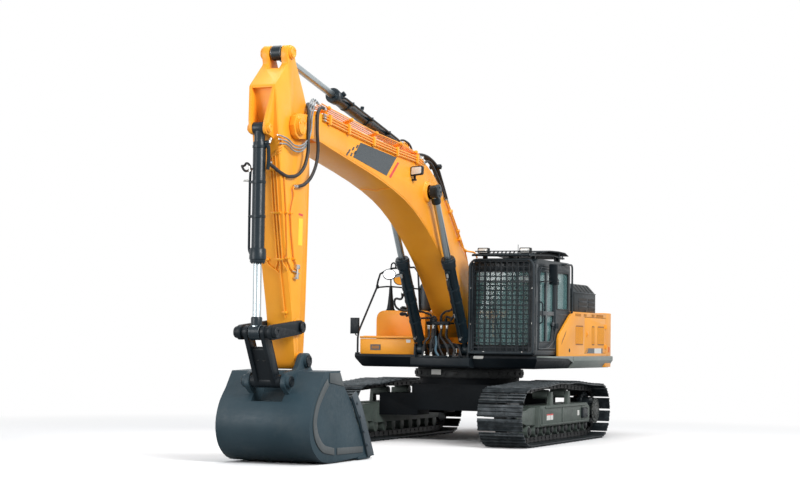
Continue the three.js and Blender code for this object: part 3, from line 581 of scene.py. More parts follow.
# Grey-green paint made lighter: partly the sill's paint and partly a painted reflection of the bright
# surroundings.
SILL_PAINT_AND_REFLECTION = painted("sill_paint", (0.175, 0.205, 0.190), (0.23, 0.265, 0.245), (0.4, 0.55),
                     dust=(0.1, 0.1, 0.09))
RED_FILM = painted("red_film", (0.72, 0.03, 0.03), (0.62, 0.025, 0.025), (0.3, 0.4))
DARK_FILM = painted("dark_film", (0.016, 0.028, 0.036), (0.021, 0.033, 0.041), (0.25, 0.35))
PALE_FILM = painted("pale_film", (0.78, 0.78, 0.74), (0.7, 0.7, 0.66), (0.35, 0.45))
YELLOW_FILM = painted("yellow_film", (0.93, 0.62, 0.02), (0.88, 0.58, 0.02), (0.35, 0.45))
# Yellow paint darkened to brown as painted shade, for the backs of louvres and for slots and vents.
GRILLE_PAINTED_SHADE = painted("grille_shade", (0.34, 0.13, 0.02), (0.26, 0.10, 0.016), (0.5, 0.6))
TRACK_STEEL = forged("track_steel", (0.016, 0.022, 0.026), (0.060, 0.072, 0.080), (0.3, 0.5), 60, 0.3, 0.5)
CAST = forged("cast_iron", (0.014, 0.016, 0.017), (0.035, 0.038, 0.039), (0.45, 0.65), 70, 0.4, 0.4)
CHROME = plated("chrome_rod", (0.52, 0.59, 0.62), (0.26, 0.38))
ZINC = plated("zinc_fitting", (0.62, 0.62, 0.60), (0.25, 0.38))
MIRROR = plated("mirror_glass", (0.80, 0.82, 0.83), (0.02, 0.04))
RUBBER = moulded("hose_rubber", (0.010, 0.010, 0.011))
GREY_HOSE = moulded("grey_hose", (0.16, 0.18, 0.19), (0.35, 0.5))
SEAT_PLASTIC = moulded("seat_plastic", (0.03, 0.032, 0.034))
SEAT_CLOTH = woven("seat_cloth", (0.016, 0.017, 0.019))
GLASS = glazed("cab_glass", (0.17, 0.33, 0.33), 0.62)
CHAIN_STEEL = forged("chain_steel", (0.010, 0.011, 0.012), (0.025, 0.027, 0.030), (0.4, 0.6), 60, 0.3, 0.4)
DRIVE_PAINT = painted("drive_paint", (0.030, 0.034, 0.032), (0.045, 0.050, 0.047), (0.35, 0.5),
                      dust=(0.09, 0.09, 0.08))
BUCKET_EDGE = painted("bucket_edge", (0.034, 0.050, 0.062), (0.048, 0.066, 0.080), (0.4, 0.55), peel=0.3)
BUCKET_SIDE = painted("bucket_side", (0.055, 0.066, 0.070), (0.075, 0.086, 0.090), (0.42, 0.55), peel=0.3)
LAMP_FACE = painted("lamp_face", (0.62, 0.64, 0.62), (0.75, 0.77, 0.75), (0.08, 0.16), coat=0.8)
GREEN_FILM = painted("green_film", (0.02, 0.22, 0.12), (0.03, 0.28, 0.15), (0.3, 0.4))
CAB_TRIM = painted("cab_trim", (0.014, 0.021, 0.026), (0.024, 0.033, 0.039), (0.25, 0.38), specular=0.3)
DRUM_PAINT = painted("drum_paint", (0.022, 0.032, 0.040), (0.036, 0.048, 0.058), (0.4, 0.5))
BLUE_HOSE = moulded("blue_hose", (0.055, 0.11, 0.15), (0.4, 0.5))
MONITOR = painted("monitor_face", (0.02, 0.03, 0.035), (0.03, 0.04, 0.05), (0.1, 0.2), coat=0.5)
DEEP_BLACK = painted("deep_black", (0.004, 0.004, 0.004), (0.006, 0.006, 0.006), (0.6, 0.7))

# ---------------------------------------------------------------- CAD shapes with finished edges

EDGES = (
    (YELLOW, {"boom": 8, "arm": 8, "counterweight": 25, "rear_cowl": 10, "left_cowl_door": 6,
              "right_cowl_door": 6, "fuel_tank": 14, "tool_box": 10, "tool_box_lid": 8}),
    (BLACK, {"platform": 8, "rocker_links": 6, "bucket_link": 6, "cab_floor": 4, "cab_guard": 3,
             "handrails": 0, "right_mirror": 3}),
    (CAB_PAINT, {"cab_shell": 8, "cab_door": 6, "roof_visor": 4}),
    (CYLINDER_PAINT, {"left_boom_barrel": 4, "right_boom_barrel": 4, "arm_barrel": 4, "bucket_barrel": 4}),
    (CHROME, {"left_boom_rod": 3, "right_boom_rod": 3, "arm_rod": 3, "bucket_rod": 3}),
    (TRACK_STEEL, {"left_idler": 4, "right_idler": 4, "left_sprocket": 3, "right_sprocket": 3}),
    (FRAME_PAINT, {"left_track_frame": 5, "right_track_frame": 5}),
    (CAST, {"swing_bearing": 4, "engine_block": 12}),
    (HOOD_PAINT, {"engine_hood": 10}),
    (BUCKET_PAINT, {"bucket": 6}),
    (CAR_PAINT, {"car_body": 8}),
    (SEAT_PLASTIC, {"seat_frame": 12}),
)
for material, edges in EDGES:
    for node, edge in edges.items():
        refined(node, material, edge)

PANES = ("windscreen", "rear_window", "right_window", "quarter_window", "door_window")
for material, nodes in ((GLASS, PANES), (TRACK_STEEL, ("left_track", "right_track"))):
    for node in nodes:
        frame["nodes"][node].data.materials.clear()
        frame["nodes"][node].data.materials.append(material)

# ---------------------------------------------------------------- tracks

SHOE_COUNT = 52
CHAIN_RADIUS = 388                      # of the pins' line round the sprocket and the idler


def chain_line():
    """The closed line of the track pins in the side view, as close points."""
    def arc(y, turn):
        return [(y + CHAIN_RADIUS * math.sin(turn + math.pi * i / 60),
                 AXLE_Z - CHAIN_RADIUS * math.cos(turn + math.pi * i / 60)) for i in range(61)]
    high, low = AXLE_Z + CHAIN_RADIUS, AXLE_Z - CHAIN_RADIUS
    top = [(2700, high), (AXLE_Y, high), (1350, 892), (500, 940), (25, 928), (-450, 940), (-1300, 892),
           (-AXLE_Y, high), (-2700, high)]
    line = [(-AXLE_Y + AXLE_Y * i / 50, low) for i in range(100)] + arc(AXLE_Y, 0)
    for a, b, c, d in zip(top, top[1:], top[2:], top[3:]):
        for i in range(1, 31):
            t = i / 30
            line.append(tuple(0.5 * (2 * q + (r - p) * t + (2 * p - 5 * q + 4 * r - s) * t * t +
                                     (3 * q - p - 3 * r + s) * t ** 3) for p, q, r, s in zip(a, b, c, d)))
    return line + arc(-AXLE_Y, math.pi)[1:]


def track_pins():
    """Evenly spaced places along the chain's line."""
    line = [Vector(point) for point in chain_line()]
    steps = [(b - a).length for a, b in zip(line, line[1:] + line[:1])]
    pitch, place, pins, ahead = sum(steps) / SHOE_COUNT, 0.0, [], 0.0
    for start, end, step in zip(line, line[1:] + line[:1], steps):
        while ahead < place + step - 1e-6 and len(pins) < SHOE_COUNT:
            pins.append(start.lerp(end, (ahead - place) / step))
            ahead += pitch
        place += step
    return pins


def along_chain(shape, pins):
    """A shape modelled about the origin, with +Z outwards, copied onto every link."""
    home = Matrix.Translation(-at(0, 0, 0))
    copies = []
    for here, there in zip(pins, pins[1:] + pins[:1]):
        way = (there - here).normalized()
        middle = (here + there) / 2
        turn = Matrix(((1, 0, 0), (0, -way.x, way.y), (0, -way.y, -way.x))).to_4x4()
        copies.append(copied(shape, Matrix.Translation(at(TRACK_CENTRE, *middle)) @ turn @ home))
    bpy.data.objects.remove(shape)
    return copies


def make_tracks():
    pins = track_pins()
    plate_line = [(-96, 56), (-100, 68), (-88, 70), (-83, 97), (-69, 97), (-60, 70), (-18, 70), (-13, 92),
                  (-3, 92), (4, 70), (48, 70), (53, 92), (63, 92), (70, 70), (98, 66), (104, 54), (92, 56)]
    shoe = side_plate(plate_line, -375, 375, 1.5, 1)
    heads = bolts([(x, y, 70) for x in (-78, 78) for y in (-40, 26)], (0, 0, 1), 15, 13)
    shoes = along_chain(joined([shoe, heads]), pins)
    cheek = [(-128, -20), (-110, -38), (-40, -40), (40, -40), (112, -36), (128, -14), (126, 20), (96, 34),
             (70, 54), (-70, 54), (-112, 30)]
    links = [side_plate(cheek, 66, 96, 3, 1), side_plate(cheek, -96, -66, 3, 1),
             bar((-70, -101, 0), (70, -101, 0), 32, 16), bar((-106, -101, 0), (106, -101, 0), 21, 12, 2)]
    chain = along_chain(joined(links), pins)
    left, right = pair("track_shoes", shoes, "root", TRACK_STEEL)
    pair("track_chain", chain, "root", CHAIN_STEEL)
    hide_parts("left_track")
    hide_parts("right_track")


make_tracks()

# ---------------------------------------------------------------- undercarriage

ROLLER_Z = 238
CARRIER_ROLLERS = (-450, 500)
IDLER = (-AXLE_Y, AXLE_Z)
SPROCKET = (AXLE_Y, AXLE_Z)

collars = []
for y in (-1560 + 388 * i for i in range(9)):
    collars += [turned([(0, 0), (0, 88), (18, 88), (26, 60), (44, 56), (52, 40), (52, 0)],
                       1590, (y, ROLLER_Z), 24),
                bolts(circle_of(6, (y, ROLLER_Z), 44, 1632), (1, 0, 0), 8, 8)]
for y in CARRIER_ROLLERS:
    collars.append(turned([(0, 0), (0, 66), (20, 66), (34, 40), (34, 0)], 1560, (y, 826), 24))
collars += [turned([(0, 0), (0, 128), (20, 128), (30, 96), (52, 92), (60, 70), (60, 0)], 1560, IDLER),
            bolts(circle_of(8, IDLER, 108, 1580), (1, 0, 0), 12, 10)]
pair("rollers", collars, "root", CAST)

drive = [turned([(0, 0), (0, 222), (14, 222), (14, 150), (26, 146), (34, 130), (34, 60), (40, 54), (40, 0)],
                1652, SPROCKET, 40),
         bolts(circle_of(18, SPROCKET, 198, 1666), (1, 0, 0), 12, 11),
         bolts(circle_of(6, SPROCKET, 96, 1686), (1, 0, 0), 10, 9)]
pair("drive_cover", drive, "root", DRIVE_PAINT)

long_web = [(-1200, 318), (-1110, 622), (1440, 622), (1600, 548), (1600, 318), (-1200, 318)]
front_web = [(-2120, 420), (-2120, 560), (-1700, 585), (-1560, 620), (-1240, 620), (-1200, 330), (-1700, 350),
             (-2120, 420)]
webs = [side_plate(rounded(long_web, 40)[:-1], 1656, 1670, 3),
        block((1660, 1690), (-900, 1350), (596, 628), 4), block((1660, 1684), (-1150, 1500), (318, 342), 4)]
webs += [side_plate([(y - 90, 600), (y - 46, 860), (y + 46, 860), (y + 90, 600)], 1572, 1640, 5)
         for y in CARRIER_ROLLERS]
webs += [side_plate([(y - 26, 345), (y - 26, 595), (y + 26, 595), (y + 26, 345)], 1668, 1682, 3)
         for y in (-1050, 40, 1180)]
webs.append(side_plate(rounded(front_web, 30)[:-1], 1562, 1612, 5))
pair("frame_webs", webs, "root", FRAME_PAINT)
pair("frame_box", [block((1664, 1700), (1120, 1420), (380, 560), 8),
                   bolts([(1700, y, z) for y in (1150, 1390) for z in (405, 535)], (1, 0, 0), 10, 8)],
     "root", BLACK)
signs = [((-820, -640), (400, 500)), ((-620, -480), (400, 500)), ((900, 1000), (430, 520))]
pair("frame_signs", [block((1671, 1674), y, z, 0) for y, z in signs], "root", PALE_FILM)
pair("frame_sign_edges", [block((1672, 1676), y, (z[1] - 22, z[1]), 0) for y, z in signs[:2]],
     "root", RED_FILM)
finished("bearing_bolts", bolts(circle_round(36, (0, 0), 735, 1130), (0, 0, 1), 15, 16),
         "root", CAST)
finished("bearing_seal", upright([(0, 700), (0, 790), (12, 800), (40, 800), (40, 700)], 0, 0, 1190, 64),
         "root", BLACK)

# ---------------------------------------------------------------- bucket and linkage

def pin_cap(place, x, radius, reach=16, heads=2):
    """A pin's end cap with its bolts, on the side where x is."""
    side = 1 if x > 0 else -1
    y, z = place
    cap = lathe([(-6, 0), (-6, radius), (reach - 5, radius), (reach, radius - 5), (reach, radius * 0.55),
                 (reach - 5, radius * 0.5), (reach - 5, 0)], (x, y, z), (x + 100 * side, y, z), 32)
    return joined([cap, bolts(circle_of(heads, place, radius * 0.72, x + side * reach, 0.6), (side, 0, 0),
                              radius * 0.13, 8)])


def fitting(place, way, radius=17):
    """A hose end: a ferrule and a hexagon nut, from a place along a way."""
    way = Vector(way).normalized()
    start = Vector(place)
    nut = bar(start, start + way * 26, radius * 1.3, 6, 1.5)
    ferrule = bar(start + way * 24, start + way * 74, radius * 1.1, 16, 1.5)
    return joined([nut, ferrule])


def clamp(place, across, along, width, height=34, length=44):
    """A block clamp over a run of pipes: its middle, the way across the pipes and the way along them."""
    bpy.ops.mesh.primitive_cube_add(size=1)
    body = bpy.context.object
    across, along = Vector(across).normalized(), Vector(along).normalized()
    rise = across.cross(along)
    turn = Matrix((across, along, rise)).transposed().to_4x4()
    size = Matrix.Diagonal((width * MM, length * MM, height * MM, 1))
    body.matrix_world = Matrix.Translation(at(*place)) @ turn @ size
    soften(settle(body), 4)
    up = rise if rise.z >= 0 else -rise
    top = Vector(place) + up * height / 2
    return joined([body, bolts([top + across * side * width * 0.36 for side in (-1, 1)], up, 9, 9)])


finished("bucket_pin_caps", both(pin_cap(BUCKET_PIN, 335, 84), pin_cap(LINK_BOTTOM, 350, 74)),
         "bucket", BLACK)
blade = [(-6640, 905), (-6500, 965), (-6290, 760), (-5850, 72), (-6060, 40), (-6330, 540)]
blade_bolts = [(738, y, z) for y, z in ((-6480, 800), (-6360, 610), (-6230, 400), (-6110, 210))]
cutter = [side_plate(blade, 720, 738, 4), bolts(blade_bolts, (1, 0, 0), 21, 18)]
pair("side_cutter", cutter, "bucket", BUCKET_EDGE)
strip = rounded([(-7150, 120), (-7560, 170), (-7780, 340), (-7850, 560), (-7770, 800), (-7600, 990),
                 (-7400, 1150)], 160, 5)
outer = [(y - 8, z - 6) for y, z in strip]
inner = rounded([(-7170, 210), (-7510, 260), (-7690, 410), (-7750, 570), (-7680, 760), (-7530, 920),
                 (-7360, 1060)], 160, 5)
strips = [side_plate([*outer, *reversed(inner)], 697, 716, 4),
          side_plate([(-7060, 112), (-6180, 105), (-6180, 190), (-7060, 205)], 697, 712, 4),
          side_plate([(-7330, 1225), (-6985, 1225), (-6860, 1040), (-7330, 1095)], 697, 712, 4)]
pair("bucket_side_strip", strips, "bucket", BUCKET_SIDE)
welds = [pipe([(x, -7668, 892), (x + 435, -7668, 892)], 7, sides=1) for x in (-690, 255)]
wear_strips = [block((x - 45, x + 45), (-7300, -6150), (2, 24), 4) for x in (-560, -190, 190, 560)]
finished("bucket_weld_and_wear_strips", [*welds, *wear_strips], "bucket", BUCKET_EDGE)
drains = [lathe([(0, 0), (0, 30), (8, 34), (8, 44), (14, 44), (14, 0)], (x, -7760, 330), (x, -7850, 290), 20)
          for x in (-230, 230)]
finished("bucket_drain_rims", drains, "bucket", DEEP_BLACK)
TOOTH = [(-6200, 8), (-6200, 116), (-6060, 122), (-5900, 108), (-5900, 22), (-6050, 4)]
teeth = []
for x in (-588, -294, 0, 294, 588):
    teeth += [side_plate(TOOTH, x - 72, x + 72, 8),
              cross_bar((-5975, 64), x - 80, x + 80, 16, 12, 2)]
finished("tooth_adapters", teeth, "bucket", BUCKET_EDGE)

finished("rocker_pin_caps", both(pin_cap(LINK_TOP, 295, 72), pin_cap(ROCKER_PIN, 275, 78)),
         "rocker", BLACK)
bosses = [lathe([(0, 0), (0, 26), (5, 26), (5, 16), (2, 14), (2, 0)], (x, -7992, 1400), (x, -8090, 1440), 16)
         for x in (-48, 48)]
finished("link_bosses", bosses, "bucket_link", CAST)

# ---------------------------------------------------------------- arm

ARM_FRONT = [(2070, -7480), (3010, -7734), (3940, -7899), (4475, -7985), (5059, -8098)]
BOOM_BACK = [(-6960, 4840), (-5400, 4690), (-4060, 4600), (-3300, 4570), (-2830, 4480), (-2240, 4210),
             (-1790, 3850), (-1170, 3290), (-870, 3000), (-690, 2700)]


def read_off(line, place):
    """The second value of a bent line at a first value."""
    for (a0, b0), (a1, b1) in zip(line, line[1:]):
        if place <= a1:
            return b0 + (b1 - b0) * (place - a0) / (a1 - a0)
    return line[-1][1]


def arm_front(z, off=0):
    """The y of the arm's front edge at a height, or of a place off it."""
    return read_off(ARM_FRONT, z) + off


def boom_back(y, lift=0):
    """The height of the boom's back at a place along it, or of a place above it."""
    return read_off(BOOM_BACK, y) + lift


finished("arm_pivot_caps", both(pin_cap(ARM_PIVOT, 300, 118, 22, 3)), "boom", YELLOW)
finished("arm_eye_caps", both(pin_cap(ARM_CYLINDER_EYE, 220, 76, 18),
                              pin_cap(BUCKET_CYLINDER_FOOT, 150, 54, 14)), "arm", YELLOW)
tip_bosses = [turned([(-4, 0), (-4, 120), (10, 120), (10, 0)], 190, place)
              for place in (ROCKER_PIN, BUCKET_PIN)]
finished("arm_tip_bosses", both(*tip_bosses), "arm", YELLOW)
seams = []
for side in (-1, 1):
    seams.append(pipe([(side * 189, arm_front(z, 26), z) for z in (2200, 3010, 3940, 4475, 5000)], 6, 30, 1))
    seams.append(pipe([(side * 189, -7075, 2200), (side * 189, -7025, 3100), (side * 189, -7000, 3900)],
                      6, 30, 1))
finished("arm_weld_seams", seams, "arm", YELLOW)

arm_pipes, arm_fittings, arm_clamps = [], [], []
arm_pipes.append(pipe([(206, -7420, 3752), (212, -7554, 3729), (216, -7499, 3632), (214, -7571, 3468),
                       (212, -7594, 3376), (212, -7558, 3107), (212, -7468, 2761), (216, -7392, 2680)],
                      14, 50))
arm_pipes.append(pipe([(188, -7800, 3900), (208, -7800, 3860), (208, -7722, 3367), (208, -7674, 2752),
                       (208, -7540, 2611), (212, -7430, 2606)], 11, 40))
arm_pipes.append(pipe([(-212, arm_front(z, 80), z) for z in (4250, 3940, 3400, 2900, 2400)] +
                      [(-188, arm_front(2320, 80), 2320)], 14, 40))
for z, y0, y1 in ((3376, -7722, -7594), (2765, -7674, -7468)):
    arm_clamps += [clamp((206, y, z), (0, 1, 0), (0, 0, 1), 66, 40, 30) for y in (y0, y1)]
arm_clamps.append(clamp((208, arm_front(4340, 95), 4340), (0, 1, 0), (0, 0, 1), 150, 40, 30))
for i, x in enumerate((56, 98, 140)):
    sideways = 40 if i == 2 else -34
    foot_run = [(x, arm_front(2760, -20), 2760), (x, arm_front(2700, -20), 2700)]
    foot_run += [(88, arm_front(2590, -20), 2590), (88, arm_front(1960, -20), 1960)] if i == 1 else [
        (x + sideways, arm_front(2640, -20), 2640), (x + sideways, arm_front(2600, 4), 2600)]
    top = 4230 - 34 * (2 - i)
    arm_pipes.append(pipe([(212, arm_front(4380 - 20 * i) + 142 - 42 * i, 4380 - 20 * i),
                           (212, arm_front(top, 40), top + 30), (206, arm_front(top, -22), top),
                           (x, arm_front(top - 60, -22), top - 60),
                           *((x, arm_front(z, -20), z) for z in (3940, 3400)), *foot_run], 11, 30))
arm_pipes.append(pipe([(-100, arm_front(2760, 4), 2800), (-100, arm_front(2740, -20), 2740),
                       (-96, arm_front(2690, -20), 2690), (76, arm_front(2560, -20), 2560),
                       (76, arm_front(2500, -20), 2500)], 10, 40))
for z, x, width in ((3940, 96, 150), (3370, 98, 150), (2750, 104, 150), (2750, -98, 70), (2035, 88, 72)):
    arm_clamps.append(clamp((x, arm_front(z, -16), z), (1, 0, 0), (0, -0.2, 1), width, 34, 30))
valve = [block((190, 250), (-7440, -7350), (2630, 2690), 5),
         block((190, 240), (-7430, -7370), (2490, 2560), 5),
         bar((226, -7395, 2560), (226, -7395, 2640), 17, 12),
         bar((215, -7520, 2600), (215, -7300, 2570), 9, 12),
         bar((215, -7470, 2505), (215, -7440, 2505), 16, 12)]
finished("arm_valve", valve, "arm", ZINC)
finished("arm_pipes", arm_pipes, "arm", PIPE_YELLOW)
finished("arm_pipe_clamps", arm_clamps, "arm", YELLOW)

# the three thin and two thick hoses from the boom's nose to the arm
NOSE_THIN = [(182, -6790, 4985), (212, -6800, 4975), (242, -6810, 4950)]
thin_ends = [(222, -8000 + 40 * i, 4395 - 52 * i) for i in range(3)]
thin = []
for i, (start, end) in enumerate(zip(NOSE_THIN, thin_ends)):
    drop = 40 * i
    thin.append(hose([start, (start[0] + 16, start[1] - 130, start[2] + 28),
                      (start[0] + 52, -7110 - 10 * i, 4830 - drop), (300 - 6 * i, -7160, 4600 - drop),
                      (280 - 6 * i, -7300, 4370 - drop), (250, -7560, 4300 - drop), (232, -7780, 4370 - drop),
                      end], 11))
    arm_fittings.append(fitting((end[0], end[1] + 16, end[2]), (0, -1, -0.05), 10))
blended("arm_thin_hoses", thin, material=GREY_HOSE)
thick = [hose([(262, -6650, 4900), (278, -6800, 4905), (296, -6935, 4840), (310, -7000, 4600),
               (312, -6975, 4250), (296, -7060, 3990), (262, -7270, 3800), (222, -7420, 3752)], 24),
         hose([(150, -6800, 4905), (170, -7020, 4930), (262, -7190, 4800), (292, -7250, 4450),
               (290, -7260, 4200), (268, -7400, 3960), (226, -7660, 3868), (200, -7920, 3905),
               (156, -8060, 3975), (126, -8130, 4010)], 24)]
blended("arm_thick_hoses", thick)
finished("arm_hose_fittings", [*arm_fittings, fitting((218, -7470, 3752), (0, 1, 0.05), 22),
                               fitting((206, -7440, 3752), (0, -1, 0), 20)], "arm", ZINC)
nose_ends = [fitting(place, (0, -1, 0.1), 11) for place in NOSE_THIN]
nose_ends += [fitting((262, -6640, 4895), (0.1, -1, 0.1), 22),
              fitting((150, -6780, 4900), (0.1, -1, 0.1), 22)]
finished("boom_nose_fittings", nose_ends, "boom", ZINC)
for name, outline, film in (
    ("arm_sign", [(-7310, 2960), (-7180, 2960), (-7170, 3330), (-7300, 3330)], YELLOW_FILM),
    ("arm_sign_header", [(-7302, 3372), (-7170, 3362), (-7170, 3392), (-7302, 3400)], RED_FILM),
):
    finished(name, side_plate(outline, 190.5, 192.5, 0), "arm", film)

# the bucket cylinder's ports, pipe and bands
BUCKET_FOOT, BUCKET_EYE = Vector((0, *BUCKET_CYLINDER_FOOT)), Vector((0, *LINK_TOP))


def on_line(foot, eye, distance, x=0.0, out=0.0):
    """A place beside a cylinder's axis: a distance along it, an offset in x and one square to both."""
    way = (eye - foot).normalized()
    side = Vector((0, way.z, -way.y))
    return foot + way * distance + Vector((x, 0, 0)) + side * out


def by_bucket_cylinder(distance, x=0.0, out=0.0):
    return on_line(BUCKET_FOOT, BUCKET_EYE, distance, x, out)


def band(foot, eye, distance, radius):
    """A strap round a barrel."""
    width = 34
    start, end = (on_line(foot, eye, distance + half) for half in (-width / 2, width / 2))
    return lathe([(0, radius - 2), (0, radius + 7), (width, radius + 7), (width, radius - 2)], start, end, 32)


bands = [band(BUCKET_FOOT, BUCKET_EYE, d, 88) for d in (250, 720, 1180)]
bands.append(lathe([(0, 84), (0, 96), (20, 110), (150, 114), (160, 96), (198, 94), (198, 60), (198, 58)],
                   by_bucket_cylinder(1600), BUCKET_EYE, 32))
bands.append(bolts([by_bucket_cylinder(1798) + Vector((82 * c, 82 * s, 0)) for c, s in turns(8)],
                   (BUCKET_EYE - BUCKET_FOOT).normalized(), 10, 10))
bands.append(joined([pipe([by_bucket_cylinder(230, 82), by_bucket_cylinder(240, 132),
                           by_bucket_cylinder(420, 140), by_bucket_cylinder(560, 128)], 26, 40),
                     bar(by_bucket_cylinder(200, 88), by_bucket_cylinder(200, 140), 34, 20, 4)]))
bands.append(joined([pipe([by_bucket_cylinder(580, -128), by_bucket_cylinder(700, -134),
                           by_bucket_cylinder(1200, -134), by_bucket_cylinder(1640, -132),
                           by_bucket_cylinder(1720, -80)], 18, 60),
                     *(clamp(by_bucket_cylinder(d, -110), (1, 0, 0), BUCKET_EYE - BUCKET_FOOT, 60, 46, 34)
                       for d in (720, 1180))]))
finished("bucket_cylinder_bands", bands, "bucket_barrel", CYLINDER_PAINT)
ends = [fitting(by_bucket_cylinder(470, 126, -20), (0, 1, 0.2), 22),
        fitting(by_bucket_cylinder(205, 140), (0.3, 0.3, 1), 16),
        fitting(by_bucket_cylinder(580, -128), (-0.2, 0, 1), 18),
        fitting(by_bucket_cylinder(700, -150), (-1, -0.4, 0), 12)]
finished("bucket_cylinder_fittings", ends, "bucket_barrel", ZINC)
loop = hose([by_bucket_cylinder(545, -128), by_bucket_cylinder(492, -146), by_bucket_cylinder(466, -186),
             by_bucket_cylinder(492, -228, -20), by_bucket_cylinder(520, -222, 60), (-208, -7890, 3960)], 16)
blended("bucket_barrel_hose", [loop])
finished("arm_right_fitting", [fitting((-208, -7875, 3965), (0, 1, 0.4), 16)], "arm", ZINC)

# ---------------------------------------------------------------- boom

BOOM_SIDE = (271, 273.5)                # where the films lie on the boom's side


def boom_slope(y):
    """How steeply the boom's back rises along Y."""
    return (boom_back(y + 40) - boom_back(y - 40)) / 80


def run_over(x, lift, places):
    """Places above the boom's back."""
    return [(x, y, boom_back(y, lift)) for y in places]


UPPER_PIPES = (118, 150, 182, 214, 246)
upper, boom_clamps, brackets = [], [], []
for i, x in enumerate(UPPER_PIPES):
    lift = 98 + 12 * i
    upper.append(pipe([(x, -6780 + 14 * i, boom_back(-6780, lift)), *run_over(x, lift, (-6463, -5676)),
                       *run_over(x, lift - 25, (-4754, -3806)), (x, -3060, boom_back(-3060, 92))], 10, 60))
for y, lift in ((-6463, 140), (-5676, 138), (-4754, 114), (-3806, 114), (-3180, 108)):
    rise = 0 if y > -3300 else 0.37
    boom_clamps.append(clamp((182, y, boom_back(y) + lift - 14), (1, 0, rise), (0, 1, boom_slope(y)),
                             170, 40, 50))
    brackets.append(block((150, 214), (y - 8, y + 8), (boom_back(y, -20), boom_back(y) + lift - 40), 2))
lower = []
for x, drop in ((296, 6), (296, 44), (300, 84)):
    lower.append(pipe([(x, y, boom_back(y, -drop)) for y in (-6700, -5903, -4991, -4086, -3265, -2990)],
                      13, 60))
for y in (-6560, -5903, -4991, -4086, -3265):
    boom_clamps.append(clamp((302, y, boom_back(y, -45)), (0, -boom_slope(y), 1), (0, 1, boom_slope(y)),
                             140, 44, 56))
LEG_PIPES = UPPER_PIPES[1:]
LEG_LIFTS = ((-1760, 120), (-1500, 126), (-1180, 118), (-880, 112), (-700, 60))
leg = [pipe([(x, y, boom_back(y, lift)) for y, lift in LEG_LIFTS], 12, 80) for x in LEG_PIPES]
leg.append(pipe([(290, -2010, 3990), (290, -1845, 3850), (290, -1406, 3440), (292, -1230, 3270),
                 (330, -1150, 3190), (400, -1090, 3175), (452, -1020, 3170), (470, -960, 3080)], 15, 50))
for y in (-1620, -1280, -950):
    boom_clamps.append(clamp((198, y, boom_back(y, 122)), (1, 0, 0), (0, 1, boom_slope(y)), 150, 46, 44))
    brackets.append(block((170, 226), (y - 8, y + 8), (boom_back(y, -30), boom_back(y, 110)), 2))
for y, z in ((-1780, 3798), (-1330, 3372)):
    boom_clamps.append(clamp((292, y, z), (0, 0.7, 0.7), (0, 1, -0.9), 66, 46, 44))
finished("boom_pipes", [*upper, *lower, *leg], "boom", PIPE_YELLOW)
finished("boom_pipe_clamps", [*boom_clamps, *brackets], "boom", YELLOW)

knee, knee_nuts = [], []
for i, (x, leg_x) in enumerate(zip(UPPER_PIPES, LEG_PIPES)):
    end = (leg_x, -1752, boom_back(-1760, 120))
    knee.append(hose([(x, -3062, boom_back(-3060, 92)), (x, -2803, 4650 - 4 * i), (x + 4, -2469, 4600),
                      (x + 6, -2180, 4490), (x + 6, -1985, 4300), end], 17))
    knee_nuts += [fitting((x, -3070, boom_back(-3070, 92)), (0, 1, -0.05), 15),
                  fitting(end, (0, -0.65, 0.76), 15)]
knee.append(hose([(296, -2990, boom_back(-2990, -20)), (308, -2760, 4520), (312, -2423, 4320),
                  (306, -2150, 4120), (292, -2010, 3990)], 18))
knee_nuts += [fitting((296, -3000, boom_back(-3000, -20)), (0, 1, -0.15), 16),
              fitting((290, -1995, 3975), (0, -0.7, 0.7), 16)]
finished("boom_knee_hoses", knee, "boom", RUBBER)
knee_nuts += [fitting((296, -6690, boom_back(-6690, -drop)), (0, -1, 0.1), 14) for drop in (6, 44, 84)]
finished("boom_fittings", knee_nuts, "boom", ZINC)
finished("boom_knee_clamp", [clamp((188, -2190, 4500), (1, 0, 0), (0, 1, -0.6), 200, 62, 60),
                             block((176, 200), (-2240, -2180), (4150, 4480), 3)],
         "boom", BLACK)
valve = [block((84, 250), (-3010, -2850), (boom_back(-2930, 10), boom_back(-2930, 105)), 8),
         cross_bar((-2930, boom_back(-2930, 60)), 60, 268, 22, 6, 2)]
finished("boom_valve", valve, "boom", ZINC)
nameplate = [(-5678, 4322), (-5415, 4560), (-4046, 4472), (-4429, 4158)]
finished("boom_plate", [side_plate(nameplate, *BOOM_SIDE, 0)], "boom", DARK_FILM)
finished("boom_plate_bar", [side_plate([(-4330, 4150), (-4000, 4405), (-3930, 4400), (-4258, 4140)],
                                       *BOOM_SIDE, 0)], "boom", RED_FILM)
SPOTS = ((-5590, 4465), (-5730, 4420), (-5660, 4370), (-5870, 4372), (-5790, 4330), (-5935, 4325))
spots = [side_plate([(y, z), (y + 56, z + 52), (y + 104, z + 48), (y + 48, z - 4)], *BOOM_SIDE, 0)
         for y, z in SPOTS]
finished("boom_plate_spots", spots, "boom", DARK_FILM)
other = [mirrored(bpy.data.objects[name]) for name in ("boom_plate", "boom_plate_spots")]
finished("boom_plate_right", other, "boom", DARK_FILM)
finished("boom_plate_bar_right", mirrored(bpy.data.objects["boom_plate_bar"]), "boom", RED_FILM)

